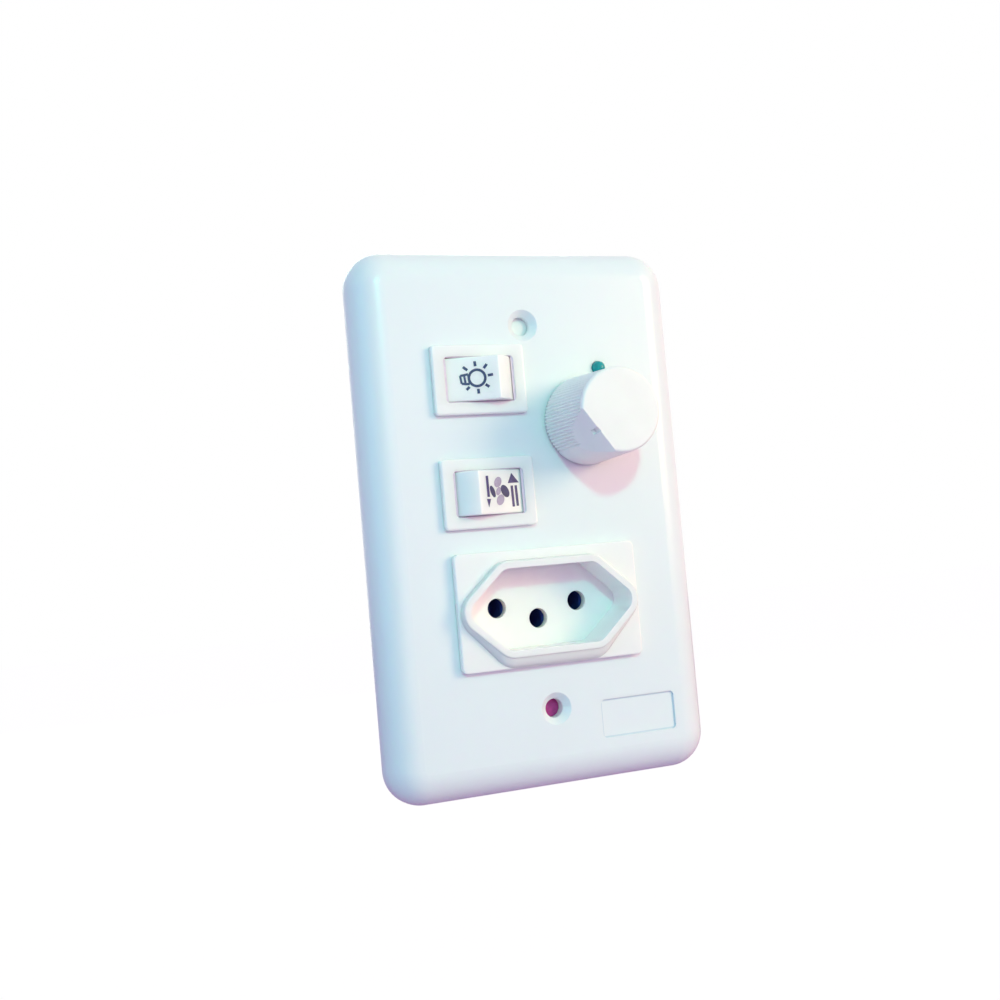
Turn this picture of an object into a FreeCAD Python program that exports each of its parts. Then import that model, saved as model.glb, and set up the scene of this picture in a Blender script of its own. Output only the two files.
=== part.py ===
import FreeCAD, Part
import Sketcher
import math
import os

# Wall control for a ceiling fan: a moulded plate that carries a light switch, a
# reversing switch, a turning speed control with its circuit board, a pilot lamp and
# a three-hole socket.
#
# Frame: +X to the right and +Z up as seen from the room, +Y into the wall.
# The origin lies on the wall plane, midway between the two fixing screws.
# "Front face" is the flat of the plate, plate_depth in front of the wall plane.
# Bodies made with new_body use plate coordinates: x right, y up, z out of the front
# face towards the room, so everything behind the plate has a negative z.

doc = FreeCAD.newDocument("fan_speed_control")
sheet = doc.addObject("Spreadsheet::Sheet", "Sizes")
Vector = FreeCAD.Vector
Rotation = FreeCAD.Rotation

DRIVING_SIZES = [
    ("plate_width", 75.0, "plate, side to side"),
    ("plate_height", 117.5, "plate, bottom to top"),
    ("plate_depth", 8.0, "front face to wall plane"),
    ("plate_wall", 2.4, "moulded wall of the plate"),
    ("plate_corner", 8.0, "corner radius seen from the front"),
    ("plate_edge_radius", 7.0, "rounding of the front edge"),
    ("screw_spacing", 83.3, "between the two fixing holes"),
    ("screw_hole", 4.1, "fixing hole diameter"),
    ("screw_dish", 6.9, "countersink diameter"),
    ("screw_boss", 10.5, "pillar round a fixing hole, back to the wall"),
    ("rib_thickness", 1.2, "stiffening ribs"),
    ("rib_depth", 6.4, "front face to edge of a rib"),
    ("side_rib_x", 28.5, "side ribs from the middle"),
    ("cutout_gap", 0.15, "clearance of a module in its cut-out, each side"),
    ("label_from_side", 18.0, "right side of the plate to the middle of the blank label recess"),
    ("label_from_foot", 13.45, "lower edge of the plate to the middle of the label recess"),
    ("label_width", 18.0, "blank label recess"),
    ("label_height", 8.3, "blank label recess"),
    ("label_depth", 0.4, "blank label recess"),
    ("label_corner", 1.0, "blank label recess corners"),
    ("switch_x", -11.5, "both switches, middle"),
    ("light_y", 29.9, "light switch, middle"),
    ("reverse_y", 5.6, "reversing switch, middle"),
    ("bezel_width", 21.0, "switch bezel"),
    ("bezel_height", 15.0, "switch bezel"),
    ("bezel_proud", 1.5, "switch bezel in front of the plate"),
    ("bezel_corner", 0.8, "switch bezel corners"),
    ("bezel_edge", 0.45, "switch bezel front edge"),
    ("switch_width", 19.4, "switch case behind the plate"),
    ("switch_height", 13.1, "switch case behind the plate"),
    ("switch_depth", 13.0, "front face to back of a switch case"),
    ("switch_floor", 1.5, "back wall of a switch case"),
    ("opening_corner", 0.9, "opening round a rocker, corners"),
    ("opening_lip", 1.0, "thickness of the bezel at the opening"),
    ("wing_reach", 0.8, "snap wing beyond the case"),
    ("wing_width", 6.0, "snap wing"),
    ("wing_length", 5.4, "snap wing"),
    ("snap_gap", 0.15, "snap wing behind the plate wall"),
    ("rocker_radius", 8.65, "rounded ends of a rocker about its pivot"),
    ("rocker_gap", 0.3, "rounded end of a rocker to the bezel and the case"),
    ("rocker_side_gap", 0.25, "side of a rocker to the bezel and the case"),
    ("rocker_pivot_depth", 5.0, "bezel front to rocker pivot"),
    ("rocker_width", 9.4, "rocker, along its pivot"),
    ("rocker_face_angle", 41.4, "half the angle that the pressed face spans"),
    ("rocker_end_angle", 86.0, "angle where a rounded end stops"),
    ("rocker_tilt", 18.7, "tilt from the middle to either end"),
    ("rocker_hollow", 0.35, "hollow of the pressed face"),
    ("rocker_roof", 1.7, "rocker wall behind the face"),
    ("rocker_wall", 1.2, "rocker side walls"),
    ("rocker_skirt_x", 7.2, "foot of the rounded ends"),
    ("rocker_lug_x", 3.0, "half width of the pivot lugs"),
    ("rocker_lug_y", 2.4, "pivot lugs behind the pivot"),
    ("trunnion", 3.0, "rocker pivot pin diameter"),
    ("trunnion_length", 1.2, "pivot pin in the case wall"),
    ("pivot_gap", 0.05, "pivot pin clearance, radial"),
    ("stem_half", 2.3, "half width of the plunger guide"),
    ("plunger_show", 1.2, "plunger tip beyond its guide"),
    ("plunger", 2.7, "plunger diameter"),
    ("plunger_gap", 0.08, "plunger clearance, radial"),
    ("plunger_length", 4.2, "plunger"),
    ("spring_wire", 0.3, "spring wire diameter"),
    ("spring_turns", 5.5, "spring turns"),
    ("spring_length", 4.0, "spring, as fitted"),
    ("lever_length", 11.8, "contact lever"),
    ("lever_width", 3.4, "contact lever"),
    ("lever_thickness", 0.5, "contact lever"),
    ("lever_tilt", 8.0, "contact lever tilt from the middle"),
    ("lever_lift", 2.2, "case floor to the back of the contact lever"),
    ("lever_gap", 0.1, "plunger tip to lever, and lever to its edge"),
    ("rivet", 2.0, "contact rivet diameter"),
    ("rivet_x", 5.1, "contact rivet from the lever's middle"),
    ("rivet_height", 0.6, "contact rivet below the lever"),
    ("blade_width", 4.8, "switch terminal"),
    ("blade_thickness", 0.8, "switch terminal"),
    ("blade_length", 7.0, "switch terminal behind the case"),
    ("blade_hole", 1.7, "switch terminal eye"),
    ("blade_x", 6.8, "outer terminals from the middle"),
    ("foot_thickness", 0.6, "fixed contact strip"),
    ("foot_reach", 2.6, "fixed contact strip, inwards from its blade"),
    ("slot_gap", 0.05, "terminal clearance in the case floor"),
    ("socket_y", -19.5, "socket, middle"),
    ("socket_width", 42.0, "socket base plate"),
    ("socket_height", 25.0, "socket base plate"),
    ("socket_proud", 1.8, "socket base plate in front of the plate"),
    ("socket_corner", 1.2, "socket base plate corners"),
    ("socket_edge", 0.3, "socket base plate front edge"),
    ("recess_tip_x", 20.2, "plug recess, sharp side corner"),
    ("recess_flat_x", 10.6, "plug recess, half length of its flats"),
    ("recess_flat_y", 8.7, "plug recess, half height"),
    ("recess_round", 3.0, "plug recess corners"),
    ("recess_depth", 9.3, "plug recess, rim to floor"),
    ("collar_wall", 1.55, "raised collar round the recess"),
    ("collar_proud", 3.5, "collar in front of the plate"),
    ("collar_edge", 0.35, "collar rim, outer edge"),
    ("neck_wall", 1.2, "recess wall behind the base plate"),
    ("socket_floor", 2.0, "recess floor"),
    ("pin_hole", 4.3, "hole for a plug pin"),
    ("pin_spacing", 19.0, "between the two live pin holes"),
    ("pin_y", 0.25, "live pin holes above the socket middle"),
    ("earth_drop", 3.0, "earth hole below the live holes"),
    ("nub_reach", 0.9, "socket snap nub"),
    ("nub_width", 8.0, "socket snap nub"),
    ("nub_length", 4.0, "socket snap nub"),
    ("carrier_length", 13.7, "contact carrier behind the recess floor"),
    ("carrier_back", 1.5, "back wall of the contact carrier"),
    ("partition_x", 4.6, "partitions of the carrier from the middle"),
    ("partition_thickness", 1.2, "partitions of the carrier"),
    ("cover_screw_x", 15.2, "carrier screws from the middle"),
    ("cover_boss", 4.0, "carrier screw boss diameter"),
    ("cover_screw", 2.2, "carrier screw diameter"),
    ("cover_screw_length", 10.0, "carrier screw under its head"),
    ("cover_head", 4.6, "carrier screw head diameter"),
    ("cover_head_height", 1.5, "carrier screw head"),
    ("screw_gap", 0.05, "screw in its pilot hole, radial"),
    ("strip_thickness", 0.6, "contact strip"),
    ("fork_half", 2.2, "half the space between the contact leaves"),
    ("fork_width", 5.0, "contact leaves"),
    ("fork_lift", 0.5, "recess floor to the contact leaves"),
    ("fork_length", 7.7, "contact leaves"),
    ("fork_flare", 0.6, "outward flare of the leaf tips"),
    ("clamp_row", 5.2, "clamp screws above the socket middle"),
    ("clamp_tab", 1.9, "contact tab beyond its clamp screw"),
    ("clamp_screw", 3.0, "clamp screw diameter"),
    ("clamp_head", 5.4, "clamp screw head diameter"),
    ("clamp_head_height", 2.1, "clamp screw head"),
    ("clamp_length", 4.2, "clamp screw beyond its head"),
    ("clamp_access", 6.4, "hole for a clamp screw in the carrier"),
    ("wire_slot", 2.8, "wire slot beside a clamp screw"),
    ("knob_x", 12.8, "speed knob axis"),
    ("knob_y", 20.1, "speed knob axis"),
    ("knob_base_radius", 9.8, "knob at its foot"),
    ("knob_top_radius", 9.0, "knob at its top"),
    ("knob_lift", 0.6, "knob foot in front of the plate"),
    ("knob_height", 17.5, "knob"),
    ("knob_top_edge", 0.6, "rounding of the knob's top edge"),
    ("knob_skirt", 1.5, "wall of the knob's hollow foot"),
    ("knob_hollow", 4.6, "depth of the knob's hollow foot"),
    ("knob_grooves", 69.0, "grooves between the grip ribs"),
    ("groove_first", -84.0, "first groove, turned from the right-hand side"),
    ("groove_span", 306.0, "from the first groove to the last one"),
    ("groove_depth", 0.38, "groove between two ribs"),
    ("groove_width", 0.62, "groove between two ribs"),
    ("groove_stop", 0.9, "ribs end below the top"),
    ("pointer_angle", 36.0, "pointer below the left horizontal, at rest"),
    ("facet_top", 6.8, "pointer facet from the axis, at the top"),
    ("facet_foot", 9.4, "pointer facet from the axis, at its foot"),
    ("facet_foot_height", 8.8, "foot of the pointer facet above the knob's foot"),
    ("notch_width", 1.2, "pointer notch"),
    ("notch_length", 2.3, "pointer notch, down from the top"),
    ("notch_depth", 0.15, "pointer notch, behind the upper edge of the facet"),
    ("shaft", 6.0, "control shaft diameter"),
    ("shaft_reach", 16.0, "front face to shaft end"),
    ("shaft_flat", 1.5, "flat of the shaft from the axis"),
    ("shaft_flat_start", 5.0, "front face to the start of the flat"),
    ("shaft_gap", 0.05, "shaft clearance in its bushing, radial"),
    ("knob_bore_gap", 0.02, "shaft clearance in the knob, radial"),
    ("bushing", 7.0, "threaded bushing diameter"),
    ("bushing_reach", 4.6, "front face to bushing end"),
    ("bushing_hole", 7.3, "hole for the bushing in the plate"),
    ("bushing_flange", 1.0, "cast flange behind the plate"),
    ("can", 16.6, "control case diameter"),
    ("can_depth", 6.8, "control case"),
    ("can_wall", 0.5, "control case"),
    ("rotor", 13.4, "rotor disc diameter"),
    ("rotor_thickness", 1.2, "rotor disc"),
    ("rotor_gap", 0.2, "rotor disc behind the flange"),
    ("wiper_thickness", 0.3, "wiper"),
    ("track_gap", 0.1, "wiper to track"),
    ("track_thickness", 1.2, "resistance track wafer"),
    ("track_tab_width", 13.0, "track wafer where it leaves the case"),
    ("track_tab_reach", 12.6, "axis to the edge of the wafer"),
    ("control_pin_pitch", 5.0, "control terminals"),
    ("control_pin", 0.8, "control terminals"),
    ("washer", 11.0, "bushing washer diameter"),
    ("washer_thickness", 0.5, "bushing washer"),
    ("nut_flats", 10.0, "bushing nut across flats"),
    ("nut_thickness", 2.0, "bushing nut"),
    ("lamp_x", 17.3, "pilot lamp axis"),
    ("lamp_y", 31.8, "pilot lamp axis"),
    ("lamp", 3.0, "pilot lamp diameter"),
    ("lamp_gap", 0.1, "pilot lamp in its hole, radial"),
    ("lamp_proud", 1.6, "pilot lamp in front of the plate"),
    ("lamp_flange", 3.8, "pilot lamp flange diameter"),
    ("lamp_flange_thickness", 1.0, "pilot lamp flange"),
    ("lamp_lead_pitch", 2.54, "pilot lamp leads"),
    ("lead", 0.6, "component leads"),
    ("lead_gap", 0.15, "lead in its hole, radial"),
    ("lead_tail", 0.9, "lead beyond the board"),
    ("board_left", 0.5, "circuit board, left edge"),
    ("board_bottom", -5.5, "circuit board, lower edge"),
    ("board_width", 26.0, "circuit board"),
    ("board_height", 43.0, "circuit board"),
    ("board_thickness", 1.6, "circuit board"),
    ("board_front", 11.4, "front face to circuit board"),
    ("post", 6.0, "board post diameter"),
    ("post_upper_x", 4.0, "upper board post"),
    ("post_upper_y", 33.0, "upper board post"),
    ("post_lower_inset", 4.0, "lower board post from the board's right edge"),
    ("post_lower_y", -1.0, "lower board post"),
    ("board_screw", 2.2, "board screw diameter"),
    ("board_screw_length", 6.0, "board screw under its head"),
    ("board_head", 4.2, "board screw head diameter"),
    ("board_head_height", 1.5, "board screw head"),
    ("block_x", 3.0, "terminal block, left edge"),
    ("block_y", -4.8, "terminal block, lower edge"),
    ("block_pitch", 5.0, "terminal block"),
    ("block_height", 8.0, "terminal block"),
    ("block_depth", 10.0, "terminal block behind the board"),
    ("capacitor_x", 4.6, "filter capacitor, left edge"),
    ("capacitor_y", 11.2, "filter capacitor, lower edge"),
    ("capacitor_width", 14.0, "filter capacitor"),
    ("capacitor_height", 6.0, "filter capacitor"),
    ("capacitor_depth", 11.0, "filter capacitor behind the board"),
    ("timing_x", 1.1, "timing capacitor, left edge"),
    ("timing_y", 6.0, "timing capacitor, lower edge"),
    ("timing_width", 2.5, "timing capacitor"),
    ("timing_height", 7.2, "timing capacitor"),
    ("timing_depth", 6.5, "timing capacitor behind the board"),
    ("choke_x", 9.6, "filter choke, middle"),
    ("choke_y", 25.0, "filter choke, middle"),
    ("choke_outer", 11.6, "choke core, outer diameter"),
    ("choke_inner", 6.4, "choke core, inner diameter"),
    ("choke_height", 4.6, "choke core"),
    ("choke_lift", 1.1, "choke core behind the board"),
    ("choke_turns", 16.0, "choke winding"),
    ("choke_wire", 0.8, "choke winding wire"),
    ("triac_inset", 6.9, "front of the power semiconductor from the board's right edge"),
    ("triac_y", 18.0, "power semiconductor, lower edge"),
    ("triac_width", 10.0, "power semiconductor"),
    ("triac_thickness", 4.4, "power semiconductor case"),
    ("triac_case", 9.0, "power semiconductor case"),
    ("triac_tab", 6.4, "power semiconductor tab beyond its case"),
    ("triac_tab_thickness", 1.3, "power semiconductor tab"),
    ("triac_lift", 2.6, "board to the power semiconductor"),
    ("sink_thickness", 1.5, "heat sink plate"),
    ("sink_height", 13.0, "heat sink plate"),
    ("sink_depth", 20.0, "heat sink plate"),
    ("sink_screw", 3.0, "heat sink screw diameter"),
    ("sink_head", 5.2, "heat sink screw head diameter"),
    ("sink_head_height", 1.8, "heat sink screw head"),
    ("resistor", 2.2, "resistor diameter"),
    ("resistor_length", 5.4, "resistor body"),
    ("resistor_span", 7.6, "between the leads of a resistor"),
    ("resistor_lift", 1.3, "board to the axis of a resistor"),
    ("resistor_y", 5.9, "upright pair of resistors, middle"),
    ("resistor_inset", 5.9, "left one of the upright pair from the board's right edge"),
    ("resistor_pitch", 3.0, "between the upright pair"),
    ("lamp_resistor_inset", 4.7, "middle of the lamp resistor from the board's right edge"),
    ("upper_row_y", 35.4, "lamp resistor and trigger diode"),
    ("diode", 1.8, "trigger diode diameter"),
    ("diode_length", 3.8, "trigger diode body"),
    ("diode_x", 12.4, "trigger diode, middle"),
]


class Size:
    """A driving size, or one worked out from others, with the formula behind it."""

    def __init__(self, formula, value):
        self.formula = formula
        self.value = value

    def __add__(self, other):
        other = as_size(other)
        return Size(f"({self.formula} + {other.formula})", self.value + other.value)

    def __radd__(self, other):
        return as_size(other) + self

    def __sub__(self, other):
        other = as_size(other)
        return Size(f"({self.formula} - {other.formula})", self.value - other.value)

    def __rsub__(self, other):
        return as_size(other) - self

    def __mul__(self, other):
        other = as_size(other)
        return Size(f"({self.formula} * {other.formula})", self.value * other.value)

    def __rmul__(self, other):
        return as_size(other) * self

    def __truediv__(self, other):
        other = as_size(other)
        return Size(f"({self.formula} / {other.formula})", self.value / other.value)

    def __neg__(self):
        return 0 - self


def as_size(item):
    if isinstance(item, Size):
        return item
    return Size(f"({float(item)})", float(item))


def cosine(angle):
    angle = as_size(angle)
    return Size(f"cos({angle.formula} * 1deg)", math.cos(math.radians(angle.value)))


def sine(angle):
    angle = as_size(angle)
    return Size(f"sin({angle.formula} * 1deg)", math.sin(math.radians(angle.value)))


def root(item):
    return Size(f"sqrt({item.formula})", math.sqrt(item.value))


class Sizes:
    """The driving sizes by name, as they stand in the sheet."""


s = Sizes()
for row, (name, value, note) in enumerate(DRIVING_SIZES, start=1):
    sheet.set(f"A{row}", note)
    sheet.set(f"B{row}", str(value))
    sheet.setAlias(f"B{row}", name)
    setattr(s, name, Size(f"Sizes.{name}", value))
doc.recompute()

NODES = []
FACING_ROOM = Rotation(Vector(1, 0, 0), 90)
UP = Vector(0, 0, 1)
TOLERANCE = 0.02


def bind(thing, path, item):
    thing.setExpression(path, as_size(item).formula)


def keep(thing, name):
    """Name a finished piece and put it on the list of pieces to write."""
    thing.Label = name
    NODES.append(thing)
    return thing


def new_body(name, x=0, y=0):
    """A body in plate coordinates, with its own origin at (x, y) on the front face."""
    body = doc.addObject("PartDesign::Body", name)
    body.Placement = FreeCAD.Placement(Vector(0, 0, 0), FACING_ROOM)
    bind(body, "Placement.Base.x", x)
    bind(body, "Placement.Base.y", -s.plate_depth)
    bind(body, "Placement.Base.z", y)
    return keep(body, name)


def new_pivoted_body(name, x, depth, z, tilt, sense):
    """A body in the frame's own directions, turned about an upright axis at rest."""
    body = doc.addObject("PartDesign::Body", name)
    body.Placement = FreeCAD.Placement(Vector(0, 0, 0), Rotation(UP * sense, as_size(tilt).value))
    bind(body, "Placement.Base.x", x)
    bind(body, "Placement.Base.y", depth - s.plate_depth)
    bind(body, "Placement.Base.z", z)
    bind(body, "Placement.Rotation.Angle", tilt)
    return keep(body, name)


def origin_feature(body, role):
    return [feature for feature in body.Origin.OriginFeatures if feature.Role == role][0]


def new_sketch(body, name, plane="XY", lift=0):
    """A sketch on one of the body's own planes, moved along the plane's normal."""
    sketch = body.newObject("Sketcher::SketchObject", name)
    sketch.AttachmentSupport = [(origin_feature(body, plane + "_Plane"), "")]
    sketch.MapMode = "FlatFace"
    bind(sketch, "AttachmentOffset.Base.z", lift)
    return sketch


def hold(sketch, kind, geometry, point, item):
    """Set a point's distance from the sketch's origin, along x or y."""
    item = as_size(item)
    index = sketch.addConstraint(Sketcher.Constraint(kind, -1, 1, geometry, point, item.value))
    bind(sketch, f"Constraints[{index}]", item)


def outline(sketch, points):
    """A closed outline of straight lines through the given corners."""
    points = [(as_size(x), as_size(y)) for x, y in points]
    first = sketch.GeometryCount
    count = len(points)
    for number in range(count):
        start = points[number]
        end = points[(number + 1) % count]
        begin = Vector(start[0].value, start[1].value, 0)
        finish = Vector(end[0].value, end[1].value, 0)
        sketch.addGeometry(Part.LineSegment(begin, finish), False)
    for number in range(count):
        following = first + (number + 1) % count
        sketch.addConstraint(Sketcher.Constraint("Coincident", first + number, 2, following, 1))
    for number, (x, y) in enumerate(points):
        hold(sketch, "DistanceX", first + number, 1, x)
        hold(sketch, "DistanceY", first + number, 1, y)


def rectangle(sketch, x, y, width, height):
    """A rectangle about its middle."""
    x, y = as_size(x), as_size(y)
    left, right = x - width / 2, x + width / 2
    low, high = y - height / 2, y + height / 2
    outline(sketch, [(left, low), (right, low), (right, high), (left, high)])


def circle(sketch, x, y, diameter):
    x, y, diameter = as_size(x), as_size(y), as_size(diameter)
    shape = Part.Circle(Vector(x.value, y.value, 0), Vector(0, 0, 1), diameter.value / 2)
    index = sketch.addGeometry(shape, False)
    hold(sketch, "DistanceX", index, 3, x)
    hold(sketch, "DistanceY", index, 3, y)
    limit = sketch.addConstraint(Sketcher.Constraint("Diameter", index, diameter.value))
    bind(sketch, f"Constraints[{limit}]", diameter)


def pad(body, name, sketch, length, midplane=False, reverse=False):
    feature = body.newObject("PartDesign::Pad", name)
    feature.Profile = sketch
    bind(feature, "Length", length)
    feature.Midplane = midplane
    feature.Reversed = reverse
    doc.recompute()
    return feature


def pocket(body, name, sketch, length, midplane=False, reverse=False):
    before = body.Shape.Volume
    feature = body.newObject("PartDesign::Pocket", name)
    feature.Profile = sketch
    bind(feature, "Length", length)
    feature.Midplane = midplane
    feature.Reversed = reverse
    doc.recompute()
    if body.Shape.Volume > before - 0.001:
        raise ValueError(f"{body.Label}: {name} takes nothing away")
    return feature


def edge_names(feature, chosen):
    names = [f"Edge{number}" for number, edge in enumerate(feature.Shape.Edges, start=1) if chosen(edge)]
    if not names:
        raise ValueError(f"{feature.Label}: no edge found to round")
    return names


def fillet(body, name, base, chosen, radius):
    feature = body.newObject("PartDesign::Fillet", name)
    feature.Base = (base, edge_names(base, chosen))
    bind(feature, "Radius", radius)
    doc.recompute()
    return feature


def runs_along(edge, direction):
    if edge.Curve.TypeId != "Part::GeomLine":
        return False
    return abs(abs(edge.tangentAt(edge.FirstParameter).dot(direction)) - 1) < 0.001


def upright_at(points, low, high):
    """Edges along z within low to high that stand at one of the points."""
    points = [(as_size(x).value, as_size(y).value) for x, y in points]
    low, high = as_size(low).value - TOLERANCE, as_size(high).value + TOLERANCE

    def chosen(edge):
        box = edge.BoundBox
        if not runs_along(edge, Vector(0, 0, 1)) or box.ZMin < low or box.ZMax > high:
            return False
        return any(math.hypot(box.XMin - x, box.YMin - y) < TOLERANCE for x, y in points)

    return chosen


def flat_at(height, half_width, half_height):
    """Edges in one plane z = height, on the outline of a given half size or within it."""
    height = as_size(height).value
    half_width = as_size(half_width).value + TOLERANCE
    half_height = as_size(half_height).value + TOLERANCE

    def chosen(edge):
        box = edge.BoundBox
        level = abs(box.ZMin - height) < TOLERANCE and abs(box.ZMax - height) < TOLERANCE
        inside = max(abs(box.XMin), abs(box.XMax)) < half_width
        return level and inside and max(abs(box.YMin), abs(box.YMax)) < half_height

    return chosen


def block(name, x, z, depth, width, height, thickness):
    """A box by its left, lower and front limits: x and z seen from the room, depth into the wall."""
    box = doc.addObject("Part::Box", name)
    bind(box, "Length", width)
    bind(box, "Width", thickness)
    bind(box, "Height", height)
    bind(box, "Placement.Base.x", x)
    bind(box, "Placement.Base.y", depth - s.plate_depth)
    bind(box, "Placement.Base.z", z)
    return box


ROD_TURNS = {
    "x": Rotation(Vector(0, 1, 0), 90),
    "y": Rotation(Vector(1, 0, 0), -90),
    "z": Rotation(),
}


def rod(name, x, z, depth, diameter, length, along):
    """A round bar that starts at the given point and runs along +x, +y or +z."""
    bar = doc.addObject("Part::Cylinder", name)
    bar.Placement = FreeCAD.Placement(Vector(0, 0, 0), ROD_TURNS[along])
    bind(bar, "Radius", as_size(diameter) / 2)
    bind(bar, "Height", length)
    bind(bar, "Placement.Base.x", x)
    bind(bar, "Placement.Base.y", depth - s.plate_depth)
    bind(bar, "Placement.Base.z", z)
    return bar


def joined(name, pieces):
    whole = doc.addObject("Part::MultiFuse", name)
    whole.Shapes = pieces
    return whole


def group(name, pieces):
    """Separate solids of one kind that share a node."""
    whole = doc.addObject("Part::Compound", name)
    whole.Links = pieces
    return whole


def drilled(name, base, tool):
    remainder = doc.addObject("Part::Cut", name)
    remainder.Base = base
    remainder.Tool = tool
    return remainder


# The face plate

BOARD_RIGHT = s.board_left + s.board_width
POST_PLACES = [(s.post_upper_x, s.post_upper_y), (BOARD_RIGHT - s.post_lower_inset, s.post_lower_y)]
SCREW_PLACES = [(0, s.screw_spacing / 2), (0, -s.screw_spacing / 2)]
LABEL_X = s.plate_width / 2 - s.label_from_side
LABEL_Y = s.label_from_foot - s.plate_height / 2


def plug_outline(sketch, wall, rise=0):
    """The plug recess, a hexagon with rounded corners, moved outwards by a wall."""
    run = s.recess_tip_x - s.recess_flat_x
    slant = root(run * run + s.recess_flat_y * s.recess_flat_y)
    tip_x = s.recess_tip_x - s.recess_round * slant / s.recess_flat_y
    flat_x = s.recess_flat_x - s.recess_round * (slant - run) / s.recess_flat_y
    flat_y = s.recess_flat_y - s.recess_round
    radius = s.recess_round + wall
    turn = math.degrees(math.atan2(s.recess_flat_y.value, run.value))
    corners = [
        (tip_x, as_size(rise), turn - 90, 90 - turn),
        (flat_x, rise + flat_y, 90 - turn, 90),
        (-flat_x, rise + flat_y, 90, 90 + turn),
        (-tip_x, as_size(rise), 90 + turn, 270 - turn),
        (-flat_x, rise - flat_y, 270 - turn, 270),
        (flat_x, rise - flat_y, 270, 270 + turn),
    ]
    arcs = []
    for x, y, start, end in corners:
        whole = Part.Circle(Vector(x.value, y.value, 0), Vector(0, 0, 1), radius.value)
        arc = Part.ArcOfCircle(whole, math.radians(start), math.radians(end))
        arcs.append(sketch.addGeometry(arc, False))
        hold(sketch, "DistanceX", arcs[-1], 3, x)
        hold(sketch, "DistanceY", arcs[-1], 3, y)
        limit = sketch.addConstraint(Sketcher.Constraint("Radius", arcs[-1], radius.value))
        bind(sketch, f"Constraints[{limit}]", radius)
    for arc, following in zip(arcs, arcs[1:] + arcs[:1]):
        begin = sketch.Geometry[arc].EndPoint
        finish = sketch.Geometry[following].StartPoint
        side = sketch.addGeometry(Part.LineSegment(begin, finish), False)
        sketch.addConstraint(Sketcher.Constraint("Tangent", arc, 2, side, 1))
        sketch.addConstraint(Sketcher.Constraint("Tangent", side, 2, following, 1))


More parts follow.
